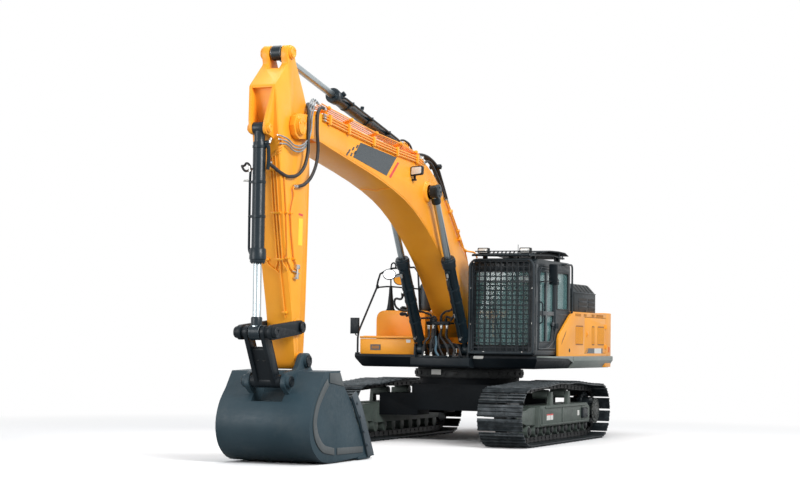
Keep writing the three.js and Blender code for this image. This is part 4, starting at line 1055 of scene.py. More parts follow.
lamp = [front_plate(ring([(272, 4238), (470, 4258), (474, 4398), (276, 4386)], 26), -3480, -3405, 6),
        block((300, 330), (-3410, -3380), (4180, 4300), 4),
        block((268, 340), (-3420, -3370), (4170, 4196), 4)]
finished("boom_lamp", lamp, "boom", DEEP_BLACK)
finished("boom_lamp_glass", [front_plate(ring([(290, 4258), (454, 4276), (457, 4380), (294, 4368)], 18),
                                         -3488, -3480, 2)], "boom", LAMP_FACE)
lower_edge = [(-6130, 4345), (-4740, 4125), (-3730, 3895), (-3050, 3640), (-2430, 3310), (-1850, 2910),
              (-1380, 2480), (-1010, 2110)]
seam = [pipe([(side * 269, y, z) for y, z in lower_edge], 7, 60, 1) for side in (-1, 1)]
seam.append(pipe([(-250, -4235, 3975), (-120, -4235, 3974), (0, -4150, 3952), (120, -4235, 3974),
                  (250, -4235, 3975)], 7, 40, 1))
finished("boom_weld_seams", seam, "boom", YELLOW)
finished("boom_eye_bosses", both(turned([(0, 0), (0, 176), (36, 158), (52, 128), (52, 0)],
                                        268, BOOM_CYLINDER_EYE, 40)), "boom", YELLOW)

# ---------------------------------------------------------------- cylinders


def eye_cover(eye, x0, x1):
    """The painted eye at a rod's end, with its bolts."""
    width = x1 - x0
    return [turned([(-2, 0), (-2, 96), (6, 104), (94, 104), (96, 116), (width, 116), (width + 4, 108),
                    (width + 4, 0)], x0, eye, 40), bolts(circle_of(4, eye, 66, x1 + 4), (1, 0, 0), 13, 10)]


def plain_eye(eye, width):
    """A rod's eye between two cheeks."""
    return turned([(0, 0), (0, 96), (6, 103), (width - 6, 103), (width, 96), (width, 0)], -width / 2, eye, 40)


def collar(foot, eye):
    """The painted end of a rod, between its eye and its bright part."""
    reach = (eye - foot).length
    return lathe([(0, 58), (0, 68), (18, 76), (115, 76), (115, 58)], on_line(foot, eye, reach - 205), eye, 32)


def gland(foot, eye, length, radius, port):
    """A barrel's head with its bolts, and the port block beside it."""
    way = (eye - foot).normalized()
    across = Vector((1, 0, 0))
    rise = way.cross(across)
    head = lathe([(0, radius), (0, radius + 22), (52, radius + 24), (62, radius + 12), (84, radius + 10),
                  (84, radius - 34)], foot + way * (length - 70), eye, 40)
    heads = [foot + way * (length - 86) + (across * c + rise * s) * (radius + 12) for c, s in turns(10)]
    port_foot = foot + way * (length - 190)
    port_block = bar(port_foot + port * (radius - 10), port_foot + port * (radius + 52), 38, 20, 5)
    return joined([head, bolts(heads, -way, 9, 10), port_block, band(foot, eye, length * 0.55, radius)])


pair("boom_rod_eye", eye_cover(BOOM_CYLINDER_EYE, BOOM_CYLINDER_X - 50, BOOM_CYLINDER_X + 85),
     "boom_rods", CYLINDER_PAINT)
for side, sign in (("left", 1), ("right", -1)):
    foot = Vector((sign * BOOM_CYLINDER_X, *BOOM_CYLINDER_FOOT))
    eye = Vector((sign * BOOM_CYLINDER_X, *BOOM_CYLINDER_EYE))
    span = (eye - foot).normalized()
    forward = Vector((0, -span.z, span.y))
    finished(f"{side}_boom_rod_collar", collar(foot, eye), "boom_rods", CYLINDER_PAINT)
    line = pipe([foot + span * distance + forward * out for distance, out in
                 ((300, 92), (330, 138), (700, 138), (1480, 138), (1530, 110))], 15, 40)
    holders = [clamp(foot + span * d + forward * 112, (1, 0, 0), span, 56, 50, 34) for d in (560, 1180)]
    finished(f"{side}_boom_cylinder_head", [gland(foot, eye, 1715, 95, forward), line, *holders,
                                            band(foot, eye, 560, 95), band(foot, eye, 1180, 95)],
             "boom_barrels", CYLINDER_PAINT)
    finished(f"{side}_boom_port_fittings", [fitting(foot + span * 300 + forward * 96, forward, 17),
                                            fitting(foot + span * 1525 + forward * 150, -span, 16)],
             "boom_barrels", ZINC)

foot, eye = Vector((0, *ARM_CYLINDER_FOOT)), Vector((0, *ARM_CYLINDER_EYE))
span = (eye - foot).normalized()
above = Vector((0, span.z, -span.y))


def by_arm_cylinder(distance, x=0, up=0):
    return foot + span * distance + Vector((x, 0, 0)) + above * up


knob = [bar(by_arm_cylinder(1560, 0, 88), by_arm_cylinder(1560, 0, 130), 22, 16, 3),
        bar(by_arm_cylinder(1560, 0, 128), by_arm_cylinder(1560, 0, 168), 30, 8, 4)]
side_pipe = pipe([by_arm_cylinder(2500, 88), by_arm_cylinder(2470, 136), by_arm_cylinder(1500, 136),
                  by_arm_cylinder(420, 136), by_arm_cylinder(330, 120)], 16, 50)
holders = [clamp(by_arm_cylinder(d, 112), above, span, 56, 60, 34) for d in (760, 1450, 2180)]
finished("arm_cylinder_head", [gland(foot, eye, 2640, 90, Vector((0.8, 0, 0)) + above * 0.6),
                               *knob, side_pipe, *holders, *(band(foot, eye, d, 90) for d in (760, 2180))],
         "arm_barrel", CYLINDER_PAINT)
finished("arm_rod_collar", collar(foot, eye), "arm_rod", CYLINDER_PAINT)
finished("arm_rod_eye", plain_eye(ARM_CYLINDER_EYE, 144), "arm_rod", CYLINDER_PAINT)
finished("bucket_rod_eye", [plain_eye(LINK_TOP, 156), collar(BUCKET_FOOT, BUCKET_EYE)],
         "bucket_rod", CYLINDER_PAINT)
foot_hose = hose([by_arm_cylinder(330, 118), by_arm_cylinder(250, 128, 40), by_arm_cylinder(120, 140, 60),
                  foot + Vector((152, 60, 20)), (150, -3100, boom_back(-3100, 96))], 17)
blended("arm_cylinder_hose", foot_hose)
finished("arm_cylinder_hose_nut", fitting(by_arm_cylinder(332, 118), -span, 15),
         "arm_barrel", ZINC)

# ---------------------------------------------------------------- upper structure


def house(name, objects, material):
    """A piece that rides on the upper body."""
    return finished(name, objects, "house", material)


# The sills' light grey-green is partly paint and partly painted reflection.
skirt = [(1646, 1452), (1660, 1440), (1660, 1374), (1573, 1244), (1556, 1240), (1556, 1250), (1641, 1378),
         (1641, 1452)]
sill = front_plate(skirt, 700, 3120, 3)
lead = side_plate([(-1290, 1436), (-1290, 1452), (720, 1452), (720, 1330), (400, 1408)], 1641, 1652, 2)
house("left_sill", [sill, lead], SILL_PAINT_AND_REFLECTION)
house("right_sill", front_plate([(50 - x, z) for x, z in skirt], 700, 3120, 3), SILL_PAINT_AND_REFLECTION)


def upright_slots(x, y0, y1, z0, z1):
    """A row of narrow upright slots on the machine's side, as thin blocks that carry painted shade."""
    step, width = 34, 13
    return [block((x - 2, x + 2.5), (y, y + width), (z0, z1), 0)
            for y in (y0 + i * step for i in range(int((y1 - y0) / step)))]


def louvre(x, y0, y1, z0, z1):
    """A field of upright louvres: a back plate in painted shade, and the slats over it."""
    back = side_plate(ring(oblong((y0, y1), (z0, z1)), 40), x - 1, x + 2, 0)
    count = max(2, round((y1 - y0) / 42))
    pitch = (y1 - y0) / count
    slats = []
    for i in range(count):
        y = y0 + i * pitch
        slats.append(plan_plate([(x, y + 2), (x + 7, y + pitch * 0.30), (x + 7, y + pitch * 0.42),
                                 (x, y + pitch * 0.42)], z0 + 22, z1 - 22, 1, 1))
    return back, slats


FILM = (COWL_SIDE - 1, COWL_SIDE + 1.5)   # where the films lie on the cowl's side


def cowl_pieces(word):
    """The small pieces of one side of the cowl, modelled on the left: name, shapes, body, slot, finish."""
    top_slots = [slot for y0, y1 in ((800, 1170), (1300, 1480), (1790, 1960), (2080, 2530))
                 for slot in upright_slots(COWL_SIDE, y0, y1, 2146, 2192)]
    fixed_back, fixed_slats = louvre(COWL_SIDE, 819, 1265, 1645, 1985)
    vents = [side_plate([(y, z), (y + 12, z - 4), (y + 64, z + 74), (y + 52, z + 80)],
                        COWL_SIDE - 1, COWL_SIDE + 2, 0)
             for y, z in ((10 + i * 34, 1655 + i * 26) for i in range(7 if word == "left" else 0))]
    door_louvres = [louvre(COWL_SIDE - 1, y0, y1, 1645, 1985) for y0, y1 in ((1799, 1972), (2160, 2572))]
    # The hole is a flat black disc: painted shade, not an opening.
    hole = turned([(-2, 0), (-2, 34), (3, 34), (3, 0)], COWL_SIDE, (467, 1553), 24)
    latch = [block((COWL_SIDE - 2, COWL_SIDE + 8), (1480, 1570), (1790, 1890), 5),
             block((COWL_SIDE + 6, COWL_SIDE + 16), (1500, 1550), (1815, 1865), 3)]
    seam = side_plate(ring(oblong((1352, 2688), (1500, 2140)), 30), COWL_SIDE - 40, COWL_SIDE - 30, 0)
    dark = [side_plate([(1520, 1500), (1960, 1500), (1960, 1590), (1600, 1590)], *FILM, 0),
            side_plate(oblong((2390, 2480), (1500, 1590)), *FILM, 0)]
    dark += [side_plate([(y, z), (y + 110 + 2 * i, z), (y + 114 + 2 * i, z + 8), (y + 6, z + 8)], *FILM, 0)
             for i, y, z in ((i, 1380 + 26 * i, 1502 + 24 * i) for i in range(4))]
    pale = side_plate(oblong((1960, 2390), (1500, 1590)), *FILM, 0)
    door = f"{word}_cowl_door"
    # The slots, vents and louvre backs are plates in painted shade, not openings.
    return [("cowl_slots", [*top_slots, fixed_back, *vents], "house", "yellow_paint", GRILLE_PAINTED_SHADE),
            ("cowl_slats", fixed_slats, "house", "yellow_paint", YELLOW),
            ("cowl_hole", [hole], "house", "black_paint", DEEP_BLACK),
            ("rear_reflector", [block((1622, 1634), (2960, 2990), (1520, 1615), 2)],
             "house", "lamp_glass", RED_FILM),
            ("door_louvre_backs", [back for back, slats in door_louvres], door, "yellow_paint", GRILLE_PAINTED_SHADE),
            ("door_louvre_slats", [slat for back, slats in door_louvres for slat in slats],
             door, "yellow_paint", YELLOW), ("door_latch", latch, door, "yellow_paint", YELLOW),
            ("door_plate_dark", dark, door, "decal_film", DARK_FILM),
            ("door_plate_pale", [pale], door, "decal_film", PALE_FILM),
            ("cowl_door_seam", [seam], "house", "seal_rubber", DEEP_BLACK)]


for word in ("left", "right"):
    for name, objects, body, slot, material in cowl_pieces(word):
        whole = joined(objects)
        if word == "right":
            left = whole
            whole = mirrored(left)
            bpy.data.objects.remove(left)
        finished(f"{word}_{name}", whole, body, material)

HOOD_PANELS = ((1640, 2120), (2210, 2620))
# The hood's slots are thin black blocks and sheets: painted shade, not openings.
hood_slots = [block(x, panel, (z - 22, z + 22), 0) for panel in HOOD_PANELS for z in (2290, 2375, 2460)
              for x in ((1449, 1453), (-903, -899))]
hood_slots += [plate([(1430, y, 2598), (1430, y + 90, 2598), (1312, y + 90, 2727), (1312, y, 2727)],
                     (3, 0, 3), 0) for y in range(1620, 2501, 220)]
hood_slots += [block((x, x + 150), (1600, 2480), (2744, 2746), 0) for x in range(-560, 941, 250)]
finished("hood_slots", hood_slots, "engine_hood", DEEP_BLACK)
hood_trim = [block((1446, 1458), (1390, 2675), (2562, 2578), 3),
             block((-908, -898), (1390, 2675), (2562, 2578), 3),
             block((-880, 1430), (1374, 1384), (2240, 2300), 4)]
hood_trim += [block((1450, 1458), (y0 - 14, y1 + 14), (z - 14, z + 14), 3) for y0, y1 in HOOD_PANELS
              for z in (2333, 2418)]
finished("hood_trim", hood_trim, "engine_hood", HOOD_PAINT)
finished("hood_handles", [block((1450, 1462), (2020, 2090), (2244, 2268), 3)],
         "engine_hood", BLACK)

house("rear_lamps", [front_plate(ring(oblong((x - 90, x + 90), (1900, 1980)), 20), 3395, 3420, 4)
                     for x in (-1290, 1290)], RED_FILM)
eyes = []
for x in (-700, 700):
    eyes += [block((x - 22, x + 22), (3020, 3180), (2225, 2300), 8),
             turned([(-26, 0), (-26, 52), (26, 52), (26, 0)], x, (3100, 2296), 24)]
house("lifting_eyes", eyes, YELLOW)
house("counterweight_seams", [block((-1100, 1100), (3641, 3644), (1700, 1708), 0),
                              block((-12, 12), (3641, 3652), (1500, 1640), 4)], DEEP_BLACK)
house("rear_camera", [block((-60, 60), (3560, 3650), (2110, 2170), 8),
                      lathe([(0, 0), (0, 22), (10, 22), (10, 0)], (0, 3648, 2140), (0, 3700, 2140), 20)],
      BLACK)
house("counterweight_steps", [block((x - 160, x + 160), (3470, 3560), (1480, 1500), 4)
                              for x in (-1100, 1100)], BLACK)

# the tool box, tank, rails and mirrors
TANK_CAP, DRUM, STAND = (-1060, -440), (-690, -340), (-1290, -470)
house("tool_box_plate", [block((-1325, -1140), (-1250, -1246), (1520, 1614), 0)], DARK_FILM)
# The plate's face takes the brown used as painted shade on the grilles.
house("tool_box_plate_face", [block((-1300, -1165), (-1252, -1249), (1542, 1592), 0)],
      GRILLE_PAINTED_SHADE)
house("tool_box_sign", [block((-676, -598), (-1244, -1240), (1650, 1700), 0)], PALE_FILM)
finished("lid_seam", [block((-1500, -550), (-1249, -1240), (1719, 1724), 0)],
         "tool_box_lid", DEEP_BLACK)
house("tank_cap", [upright([(0, 0), (0, 74), (18, 74), (26, 60), (60, 60), (64, 54), (64, 0)],
                           *TANK_CAP, 2196), block((-1072, -1048), (-510, -370), (2258, 2276), 4)],
      BLACK)
house("tank_cap_ring", [upright([(0, 60), (0, 84), (10, 84), (10, 60)], *TANK_CAP, 2199)],
      GREEN_FILM)
house("tank_step_strips", [block((-1330, -760), (y, y + 60), (2199, 2206), 2) for y in (-200, 0, 200, 400)],
      BLACK)
stand = [upright([(0, 0), (0, 86), (14, 86), (16, 70), (120, 52), (300, 34), (430, 26), (430, 0)],
                 *STAND, 2196, 20), bolts(circle_round(8, STAND, 74, 2209), (0, 0, 1), 8, 12),
         pipe([(-1290, -470, 2600), (-1294, -470, 2925), (-1280, -470, 3010), (-1240, -470, 3030),
               (-1205, -470, 3000), (-1205, -470, 2945)], 13, 30),
         pipe([(-1292, -470, 2800), (-1285, -545, 2806)], 9, 20),
         pipe([(-1150, -450, 2952), (-1090, -545, 2760)], 8, 20)]
discs, faces = [], []
for place, way in (((-1284, -560, 2806), Vector((0.3, -0.75, 0.6))),
                   ((-1085, -560, 2745), Vector((0.3, -0.8, -0.5)))):
    place, way = Vector(place), way.normalized()
    discs.append(lathe([(0, 0), (0, 92), (10, 110), (26, 112), (30, 104), (24, 98), (24, 0)],
                       place, place + way * 100, 36))
    faces.append(lathe([(24, 0), (24, 99), (27, 97), (29, 0)], place, place + way * 100, 36))
house("rail_stand", [*stand, *discs], BLACK)
house("round_mirror_faces", faces, MIRROR)
house("right_mirror_face", [front_plate(ring(oblong((-1650, -1520), (1806, 2046)), 20), -1300, -1297, 0)],
      MIRROR)
rail_joints = [bar((-1548, -466, 2580), (-1548, -456, 2640), 26, 16, 3),
               bar((-790, -450, 2575), (-756, -450, 2575), 25, 16, 3),
               block((-1585, -1518), (-1300, -1240), (1450, 1476), 5)]
house("rail_joints", rail_joints, BLACK)
drum = [upright([(0, 0), (0, 92), (20, 104), (60, 112), (380, 112), (430, 100), (470, 70), (486, 40),
                 (486, 0)], *DRUM, 2204, 40),
        *(upright([(0, 100), (0, 117), (26, 117), (26, 100)], *DRUM, z, 40) for z in (2290, 2520)),
        pipe([(-690, -340, 2670), (-690, -340, 2760), (-640, -300, 2800), (-560, -240, 2780),
              (-540, -220, 2300)], 26, 60), block((-760, -620), (-410, -270), (2200, 2216), 4)]
house("breather_drum", drum, DRUM_PAINT)
house("skirt_sign", [front_plate([(545, 1400), (715, 1400), (730, 1446), (560, 1446)], -1304, -1300, 0)],
      PALE_FILM)
BEARING_RING = 930
pads = [lathe([(0, 0), (0, 34), (12, 34), (16, 28), (16, 0)], face, way, 6)
        for face, way in zip(circle_round(30, (0, 0), BEARING_RING * 0.995, 1145),
                             circle_round(30, (0, 0), BEARING_RING * 2, 1145))]
finished("bearing_pads", pads, "root", CAST)
finished("bearing_studs", bolts(circle_round(40, (0, 0), 895, 1081), (0, 0, -1), 15, 15),
         "root", CAST)
sign = [(-353, -872), (-159, -927), (-159, -931), (-353, -876)]
finished("bearing_sign", [plan_plate([(x, y - 14) for x, y in sign], 1120, 1205, 0)],
         "root", PALE_FILM)

# hydraulic hoses in front of the boom's foot
FRONT = -1290
block_top = [block((-300, 120), (-1420, -1180), (1410, 1436), 4),
             block((-290, 300), (-1240, -1190), (1560, 1640), 8)]
nuts, uprights, blue = [], [], []
tops = ((-249, 1957), (-170, 1969), (-25, 1970), (75, 1971))
feet = ((-310, 1440), (-188, 1432), (113, 1432), (228, 1432))
for i, ((x, z), (fx, fz)) in enumerate(zip(tops, feet)):
    uprights.append(hose([(x, FRONT, z - 60), (x + 4, FRONT - 25, z - 220), ((x + fx) / 2, FRONT - 70, 1680),
                          (fx, FRONT - 62, 1540), (fx, FRONT - 55, fz)], 21))
    nuts += [fitting((x, FRONT, z - 10), (0, 0, -1), 21), fitting((fx, FRONT - 55, fz - 6), (0, 0, 1), 21)]
uprights.append(hose([(-57, FRONT + 10, 1800), (-60, FRONT - 40, 1700), (-30, FRONT - 50, 1560),
                      (30, FRONT - 40, 1440)], 17))
blue.append(hose([(-120, FRONT - 10, 1760), (-90, FRONT - 60, 1640), (-100, FRONT - 60, 1520),
                  (-60, FRONT - 40, 1436)], 19))
uprights.append(hose([(254, FRONT - 30, 1540), (220, FRONT - 80, 1480), (250, FRONT - 96, 1436),
                      (310, FRONT - 70, 1436)], 15))
uprights.append(hose([(370, FRONT - 100, 1436), (352, FRONT - 120, 1510), (300, FRONT - 90, 1610),
                      (180, FRONT - 10, 1640)], 15))
nuts += [fitting((254, FRONT - 30, 1560), (0, 0, -1), 15), fitting((180, FRONT, 1640), (0, -0.6, 0.1), 14)]
manifold = [block((-290, 115), (FRONT - 30, FRONT + 60), (1950, 2010), 8),
            block((-260, 100), (FRONT + 40, -1010), (1965, 1995), 5)]
manifold += [bar((x, FRONT + 10, 2004), (x, FRONT + 10, 2050), 24, 6, 2) for x in (-217, -130, -38, 50)]
house("boom_foot_hoses", uprights, RUBBER)
house("boom_foot_blue_hose", blue, BLUE_HOSE)
house("boom_foot_nuts", nuts, ZINC)
house("boom_foot_manifold", [*manifold, *block_top], BLACK)

foot, eye = Vector((0, *BOOM_CYLINDER_FOOT)), Vector((0, *BOOM_CYLINDER_EYE))
span = (eye - foot).normalized()
forward = Vector((0, -span.z, span.y))


def beside(side, distance, inward, ahead):
    """A place beside a boom cylinder's barrel."""
    return foot + span * distance + Vector((side * (BOOM_CYLINDER_X - inward), 0, 0)) + forward * ahead


right_high = hose([(-217, FRONT + 10, 2046), (-217, FRONT + 4, 2100), (-300, FRONT - 30, 2150),
                   (-480, -1540, 2175), (-640, -1640, 2195), (-700, -1680, 2260), (-690, -1720, 2360),
                   beside(-1, 1010, -128, 40), beside(-1, 1090, -122, 10)], 19)
left_high = hose([(-38, FRONT + 10, 2046), (-30, FRONT + 4, 2100), (40, FRONT - 30, 2160), (180, -1450, 2185),
                  (290, -1600, 2230), (372, -1710, 2330), (392, -1800, 2490), beside(1, 1290, 20, 150),
                  beside(1, 1420, 20, 134)], 19)
right_low = hose([(-130, FRONT + 10, 2046), (-140, FRONT, 2080), (-220, FRONT - 60, 2066),
                  (-380, -1500, 2062), (-520, -1650, 2110), (-600, -1690, 2120), beside(-1, 720, -122, 50),
                  beside(-1, 655, -120, 28)], 17)
left_low = hose([(50, FRONT + 10, 2046), (60, FRONT, 2080), (140, FRONT - 60, 2072), (230, -1480, 2060),
                 beside(1, 610, 130, 70), beside(1, 690, 70, 140), beside(1, 760, 20, 132)], 17)
for name, made, x0, x1 in (("right_upper", right_high, -420, -640), ("left_upper", left_high, 100, 370),
                           ("right_lower", right_low, -300, -600), ("left_lower", left_low, 110, 360)):
    blended(f"{name}_cylinder_hose", made)
finished("boom_hose_ends", [fitting(beside(-1, 1095, -122, 8), -span, 18),
                            fitting(beside(1, 1425, 20, 136), -span, 16),
                            fitting(beside(-1, 650, -120, 26), span, 16),
                            fitting(beside(1, 765, 20, 132), -span, 16)],
         "boom_barrels", ZINC)

# ---------------------------------------------------------------- cab

mesh = [block((x - 11, x + 11), (-1389, -1381), (1520, 3000), 1, 1)
        for x in (570 + 96.5 * i for i in range(11))]
mesh += [block((530, 1590), (-1385, -1377), (z - 9, z + 9), 1, 1) for z in (1588 + 78 * i for i in range(18))]
house("guard_mesh", mesh, BLACK)
rim = [pipe([(506, -1406, 1500), (506, -1406, 2950), (585, -1406, 3030), (1545, -1406, 3030),
             (1612, -1406, 2950), (1612, -1406, 1500), (506, -1406, 1500)], 20, 60),
       pipe([(552, -1402, 1560), (552, -1402, 2930)], 9, 20)]
house("guard_rim", rim, CAB_TRIM)
GUARD_BOLTS = ((520, 1969), (1600, 1990), (576, 2990), (1425, 1512), (760, 1512), (520, 2560), (1600, 2560))
house("guard_bolts", bolts([(x, -1403, z) for x, z in GUARD_BOLTS], (0, -1, 0), 12, 12),
      ZINC)
hinges = [block((1604, 1630), (-1402, -1340), (z - 60, z + 60), 6) for z in (1720, 2350, 2830)]
house("guard_hinges", hinges, BLACK)

roof = [sweep([(x, -1440, 3112), (x, -1000, 3140), (x, -560, 3160), (x, -200, 3170)], 15, "POLY") for x in
        (600, 720, 860, 1000, 1130, 1260, 1380, 1530)]
roof += [pipe([(575, -1462, 3106), (1560, -1462, 3106)], 17),
         pipe([(575, -1200, 3136), (1560, -1200, 3136)], 12),
         pipe([(575, -900, 3150), (1560, -900, 3150)], 12)]
for x in range(830, 1321, 70):
    roof.append(plate([(x, -1462, 3092), (x + 26, -1462, 3092), (x + 66, -1462, 3160), (x + 40, -1462, 3160)],
                      (0, 10, 0), 2))
roof.append(pipe([(620, -1462, 3163), (1600, -1462, 3163)], 9))
house("roof_guard_bars", roof, CAB_TRIM)
visor = side_plate([(-1200, 3150), (-1196, 3172), (-760, 3205), (-300, 3214), (60, 3206), (250, 3160),
                    (250, 3150), (60, 3192), (-300, 3198), (-760, 3190)], 1290, 1690, 4)
house("roof_visor_wing", [visor, *(bar((1500, y, 3050), (1500, y, 3180), 14, 12) for y in (-900, 60)),
                          *(bar((1640, y, 3090), (1640, y, 3190), 10, 12) for y in (-140, 60))],
      CAB_PAINT)
lamp_bodies, lamp_faces = [], []
for x0, x1 in ((656, 844), (1380, 1570)):
    lamp_bodies.append(front_plate(ring(oblong((x0, x1), (3128, 3222)), 20), -1452, -1362, 6))
    lamp_faces.append(front_plate(ring(oblong((x0 + 18, x1 - 18), (3142, 3208)), 12), -1456, -1450, 1))
house("cab_lamps", lamp_bodies, DEEP_BLACK)
house("cab_lamp_faces", lamp_faces, LAMP_FACE)
house("antenna", [bar((1172, -900, 3040), (1172, -900, 3300), 5, 8),
                  bar((1172, -900, 3052), (1172, -900, 3090), 16, 12, 2)], BLACK)

frame_line = [(-1112, 1580), (-1112, 2800), (-1000, 2915), (-240, 2915), (-216, 2890), (-216, 1580),
              (-1112, 1580)]
pane_line = [(-1050, 1690), (-1050, 2800), (-960, 2865), (-300, 2865), (-285, 2840), (-285, 2060),
             (-440, 1690), (-1050, 1690)]
door_bits = [pipe([(DOOR_SIDE + 4, y, z) for y, z in frame_line], 14, 60),
             pipe([(DOOR_SIDE + 2, y, z) for y, z in pane_line], 10, 70),
             block((DOOR_SIDE - 14, DOOR_SIDE + 12), (-1046, -290), (2130, 2200), 6),
             block((DOOR_SIDE - 12, DOOR_SIDE + 10), (-745, -660), (1700, 2850), 6),
             block((DOOR_SIDE, DOOR_SIDE + 26), (-420, -300), (1960, 2020), 8),
             pipe([(DOOR_SIDE + 2, -1060, 1990), (DOOR_SIDE + 60, -1060, 2010), (DOOR_SIDE + 60, -1060, 2330),
                   (DOOR_SIDE + 2, -1060, 2350)], 13, 40)]
finished("cab_door_trim", door_bits, "cab_door", CAB_TRIM)
grab_rail = pipe([(1600, 198, 3008), (1652, 215, 3016), (1652, 545, 3018), (1652, 585, 2980),
                  (1652, 600, 2200), (1602, 600, 2180)], 17, 50)
house("cab_grab_rails", grab_rail, CAB_TRIM)
finished("cab_door_rail", [pipe([(1600, -1090, 1560), (1630, -1075, 1572), (1630, -700, 1584),
                                 (1630, -370, 1700), (1630, -270, 1900), (1594, -262, 1915)], 11, 60)],
         "cab_door", CAB_TRIM)
mirror_arms = [pipe([(1600, -1085, 2672), (1690, -1060, 2684), (1712, -660, 2700), (1712, -660, 2800)],
                    11, 50), pipe([(1600, -250, 2715), (1690, -280, 2712), (1712, -620, 2700)], 9, 40)]
mirror_back = front_plate(oblong((1640, 1790), (2640, 2984)), -640, -686, 16, 3)
finished("left_mirror", [*mirror_arms, mirror_back], "cab_door", BLACK)
finished("left_mirror_face", [front_plate(ring(oblong((1655, 1775), (2656, 2968)), 16), -640, -637, 0)],
         "cab_door", MIRROR)
SIDE_SEAL = [(-96, 2244), (-96, 2866), (516, 2866), (516, 2244), (-96, 2244)]
FRONT_SEAL = [(575, 1625), (575, 2845), (1495, 2845), (1495, 1625), (575, 1625)]
REAR_SEAL = [(625, 2245), (625, 2855), (1445, 2855), (1445, 2245), (625, 2245)]
seals = [pipe(places, 9, 60) for places in ([(DOOR_SIDE + 1, y, z) for y, z in SIDE_SEAL],
                                            [(x, -1284, z) for x, z in FRONT_SEAL],
                                            [(x, 644, z) for x, z in REAR_SEAL])]
house("cab_seals", seals, RUBBER)
house("cab_body_lines", [block((1600, 1606), (-1270, 630), (1520, 1536), 2),
                         block((1600, 1607), (-190, 600), (2150, 2164), 2),
                         block((1600, 1608), (-1262, -1140), (1560, 2960), 6),
                         block((1545, 1600), (-1290, -1279), (1500, 3000), 6),
                         block((505, 560), (-1290, -1279), (1500, 3000), 6),
                         block((560, 1545), (-1290, -1279), (2862, 3000), 6)], CAB_TRIM)
wiper = [pipe([(1010, -1290, 1640), (1016, -1300, 1700), (900, -1302, 2240)], 7, 20),
         pipe([(880, -1300, 1980), (905, -1300, 2560)], 6, 10),
         bar((1010, -1280, 1640), (1010, -1306, 1640), 24, 16, 3)]
house("wiper", wiper, BLACK)

# the cab's inside
inside = [block((900, 1100), (70, 190), (1990, 2060), 20), block((620, 760), (-1160, -960), (1530, 2060), 24),
          block((1290, 1380), (-1120, -1000), (2140, 2330), 12),
          pipe([(1335, -1050, 1540), (1335, -1050, 2150)], 14)]
for x in (860, 1010):
    inside += [block((x, x + 90), (-1010, -830), (1522, 1540), 8),
               plate([(x, -1010, 1540), (x + 90, -1010, 1540), (x + 90, -860, 1660), (x, -860, 1660)],
                     (0, 0, 14), 3), pipe([(x + 45, -930, 1600), (x + 45, -900, 1900)], 9)]
    inside.append(bar((x + 45, -900, 1890), (x + 45, -900, 1930), 20, 16, 4))
house("cab_controls", inside, SEAT_PLASTIC)
house("seat_shell", [block((820, 1180), (190, 232), (2010, 2640), 14),
                     block((760, 800), (-400, 40), (2060, 2110), 12),
                     block((1200, 1240), (-400, 40), (2060, 2110), 12),
                     block((700, 1300), (560, 588), (1530, 2200), 10)], SEAT_PLASTIC)
house("monitor_face", [front_plate(ring(oblong((1300, 1370), (2160, 2310)), 8), -999, -997, 0)],
      MONITOR)

# ---------------------------------------------------------------- padded seat


SEAT_MIDDLE, PANEL = 1000, 130          # in X, and half the width between the seat's two long channels


def long_channels(place):
    """How far a place stands from the nearer of the two channels along the seat."""
    return abs(place.x - SEAT_MIDDLE) - PANEL


def cross_channel(axis, middle):
    """How far a place on the middle panel stands from a channel across it."""
    return lambda place: 99 if abs(place.x - SEAT_MIDDLE) > PANEL else place[axis] - middle


def grooved(obj, lines):
    """Sewn channels: points near a line, given as a measure of a place, sink along their normals."""
    width, depth = 9, 7
    moves = []
    for vertex in obj.data.vertices:
        place = (vertex.co - at(0, 0, 0)) / MM
        sink = max(math.exp(-(line(place) / width) ** 2) for line in lines)
        moves.append(vertex.co - vertex.normal * sink * depth * MM)
    for vertex, co in zip(obj.data.vertices, moves):
        vertex.co = co


def stuffed(obj, name, node, cap, lines, floor=-math.inf):
    """A pad swollen by a cloth simulation; no point moves more than the cap, or below the floor."""
    only(obj)
    applied(obj, "REMESH", mode="VOXEL", voxel_size=6 * MM)
    rest = [vertex.co.copy() for vertex in obj.data.vertices]
    cloth = obj.modifiers.new("cloth", "CLOTH")
    cloth.settings.use_pressure = True
    cloth.settings.uniform_pressure_force = 4
    cloth.settings.effector_weights.gravity = 0
    for number in range(1, 21):
        bpy.context.scene.frame_set(number)
    swollen = obj.evaluated_get(bpy.context.evaluated_depsgraph_get()).data
    places = [vertex.co.copy() for vertex in swollen.vertices]
    only(obj)
    bpy.ops.object.modifier_apply(modifier=cloth.name)
    for vertex, start, place in zip(obj.data.vertices, rest, places):
        way = place - start
        vertex.co = start + way * min(1, cap * MM / max(way.length, 1e-9))
        vertex.co.z = max(vertex.co.z, floor * MM)
    bpy.context.scene.frame_set(1)
    grooved(obj, lines)
    applied(obj, "SMOOTH", iterations=4)
    applied(obj, "SUBSURF", levels=1)
    piece = finished(name, obj, BODY_OF[node], SEAT_CLOTH, 60)
    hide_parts(node)


Y, Z = 1, 2
cushion = block((784, 1216), (-496, -22), (1856, 1956), 34, 4)
stuffed(cushion, "seat_cushion_pad", "seat_cushion", 22,
        [long_channels, cross_channel(Y, -170), cross_channel(Y, -330)], 1851)
backrest = side_plate([(49, 2014), (111, 2656), (186, 2656), (132, 1992)], 794, 1206, 34, 4)
stuffed(backrest, "seat_back_pad", "seat_back", 18,
        [long_channels, *(cross_channel(Z, z) for z in (2180, 2350, 2520))])

# ---------------------------------------------------------------- floor and light


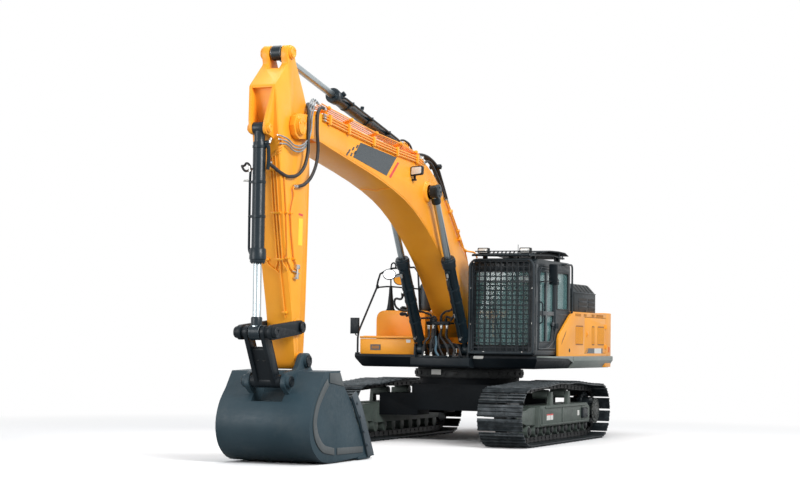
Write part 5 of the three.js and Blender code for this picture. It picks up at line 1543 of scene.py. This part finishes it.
def seen_as_white(tree):
    """A light path, and its value of 1 for the rays that meet the plain white round the machine."""
    path = tree.nodes.new("ShaderNodeLightPath")
    seen = path.outputs["Is Camera Ray"]
    for ray in ("Is Glossy Ray", "Is Transmission Ray"):
        either = tree.nodes.new("ShaderNodeMath")
        either.operation = "MAXIMUM"
        tree.links.new(seen, either.inputs[0])
        tree.links.new(path.outputs[ray], either.inputs[1])
        seen = either.outputs["Value"]
    return path, seen


def make_floor():
    """White that catches the machine's shadow and fades into the background far out."""
    bpy.ops.mesh.primitive_circle_add(vertices=96, radius=90, fill_type="NGON", location=at(0, 0, -1))
    floor = settle(bpy.context.object)
    floor.name = floor.data.name = "floor"
    made = Nodes("floor_white")
    made.set(rough=0.9, specular=0.1)
    white = made.add("ShaderNodeEmission")
    white.inputs["Color"].default_value = (1, 1, 1, 1)
    path, seen = seen_as_white(made.tree)
    made.colour(made.blend(path.outputs["Is Camera Ray"], (0.34, 0.34, 0.34), (0.9, 0.9, 0.9)))
    reach = made.add("ShaderNodeVectorMath", operation="LENGTH")
    made.join(made.place, reach.inputs[0])
    far = made.spread(reach.outputs["Value"], 7, 13)
    share = made.add("ShaderNodeMath", operation="MULTIPLY")
    made.join(far, share.inputs[0])
    made.join(seen, share.inputs[1])
    mix = made.add("ShaderNodeMixShader")
    made.join(share.outputs["Value"], mix.inputs["Fac"])
    made.join(made.shader.outputs["BSDF"], mix.inputs[1])
    made.join(white.outputs["Emission"], mix.inputs[2])
    made.join(mix.outputs["Shader"], made.tree.nodes["Material Output"].inputs["Surface"])
    floor.data.materials.append(made.material)


def area_light(name, place, target, size, power):
    """A round lamp of a size in metres and a power in watts, turned to a target."""
    data = bpy.data.lights.new(name, "AREA")
    data.shape = "DISK"
    data.size = size
    data.energy = power
    light = bpy.data.objects.new(name, data)
    light.location = at(*place)
    light.rotation_euler = (at(*target) - light.location).to_track_quat("-Z", "Y").to_euler()
    bpy.context.scene.collection.objects.link(light)


def make_world(level):
    """A dim cool light all round, seen as white."""
    world = bpy.data.worlds.new("studio")
    bpy.context.scene.world = world
    world.use_nodes = True
    tree = world.node_tree
    light = tree.nodes["Background"]
    light.inputs["Color"].default_value = (0.93, 0.96, 1.0, 1)
    light.inputs["Strength"].default_value = level
    white = tree.nodes.new("ShaderNodeBackground")
    white.inputs["Color"].default_value = (1, 1, 1, 1)
    white.inputs["Strength"].default_value = 1
    _, seen = seen_as_white(tree)
    mix = tree.nodes.new("ShaderNodeMixShader")
    tree.links.new(seen, mix.inputs["Fac"])
    tree.links.new(light.outputs["Background"], mix.inputs[1])
    tree.links.new(white.outputs["Background"], mix.inputs[2])
    tree.links.new(mix.outputs["Shader"], tree.nodes["World Output"].inputs["Surface"])


make_floor()
make_world(0.5)
area_light("key", (16000, -13000, 13000), (0, -2500, 2000), 9, 3900)
area_light("fill", (-9000, -20000, 6000), (0, -3500, 2000), 9, 1150)
area_light("top", (0, -2000, 16000), (0, -2500, 0), 12, 1500)
bpy.context.scene.view_settings.view_transform = "Standard"
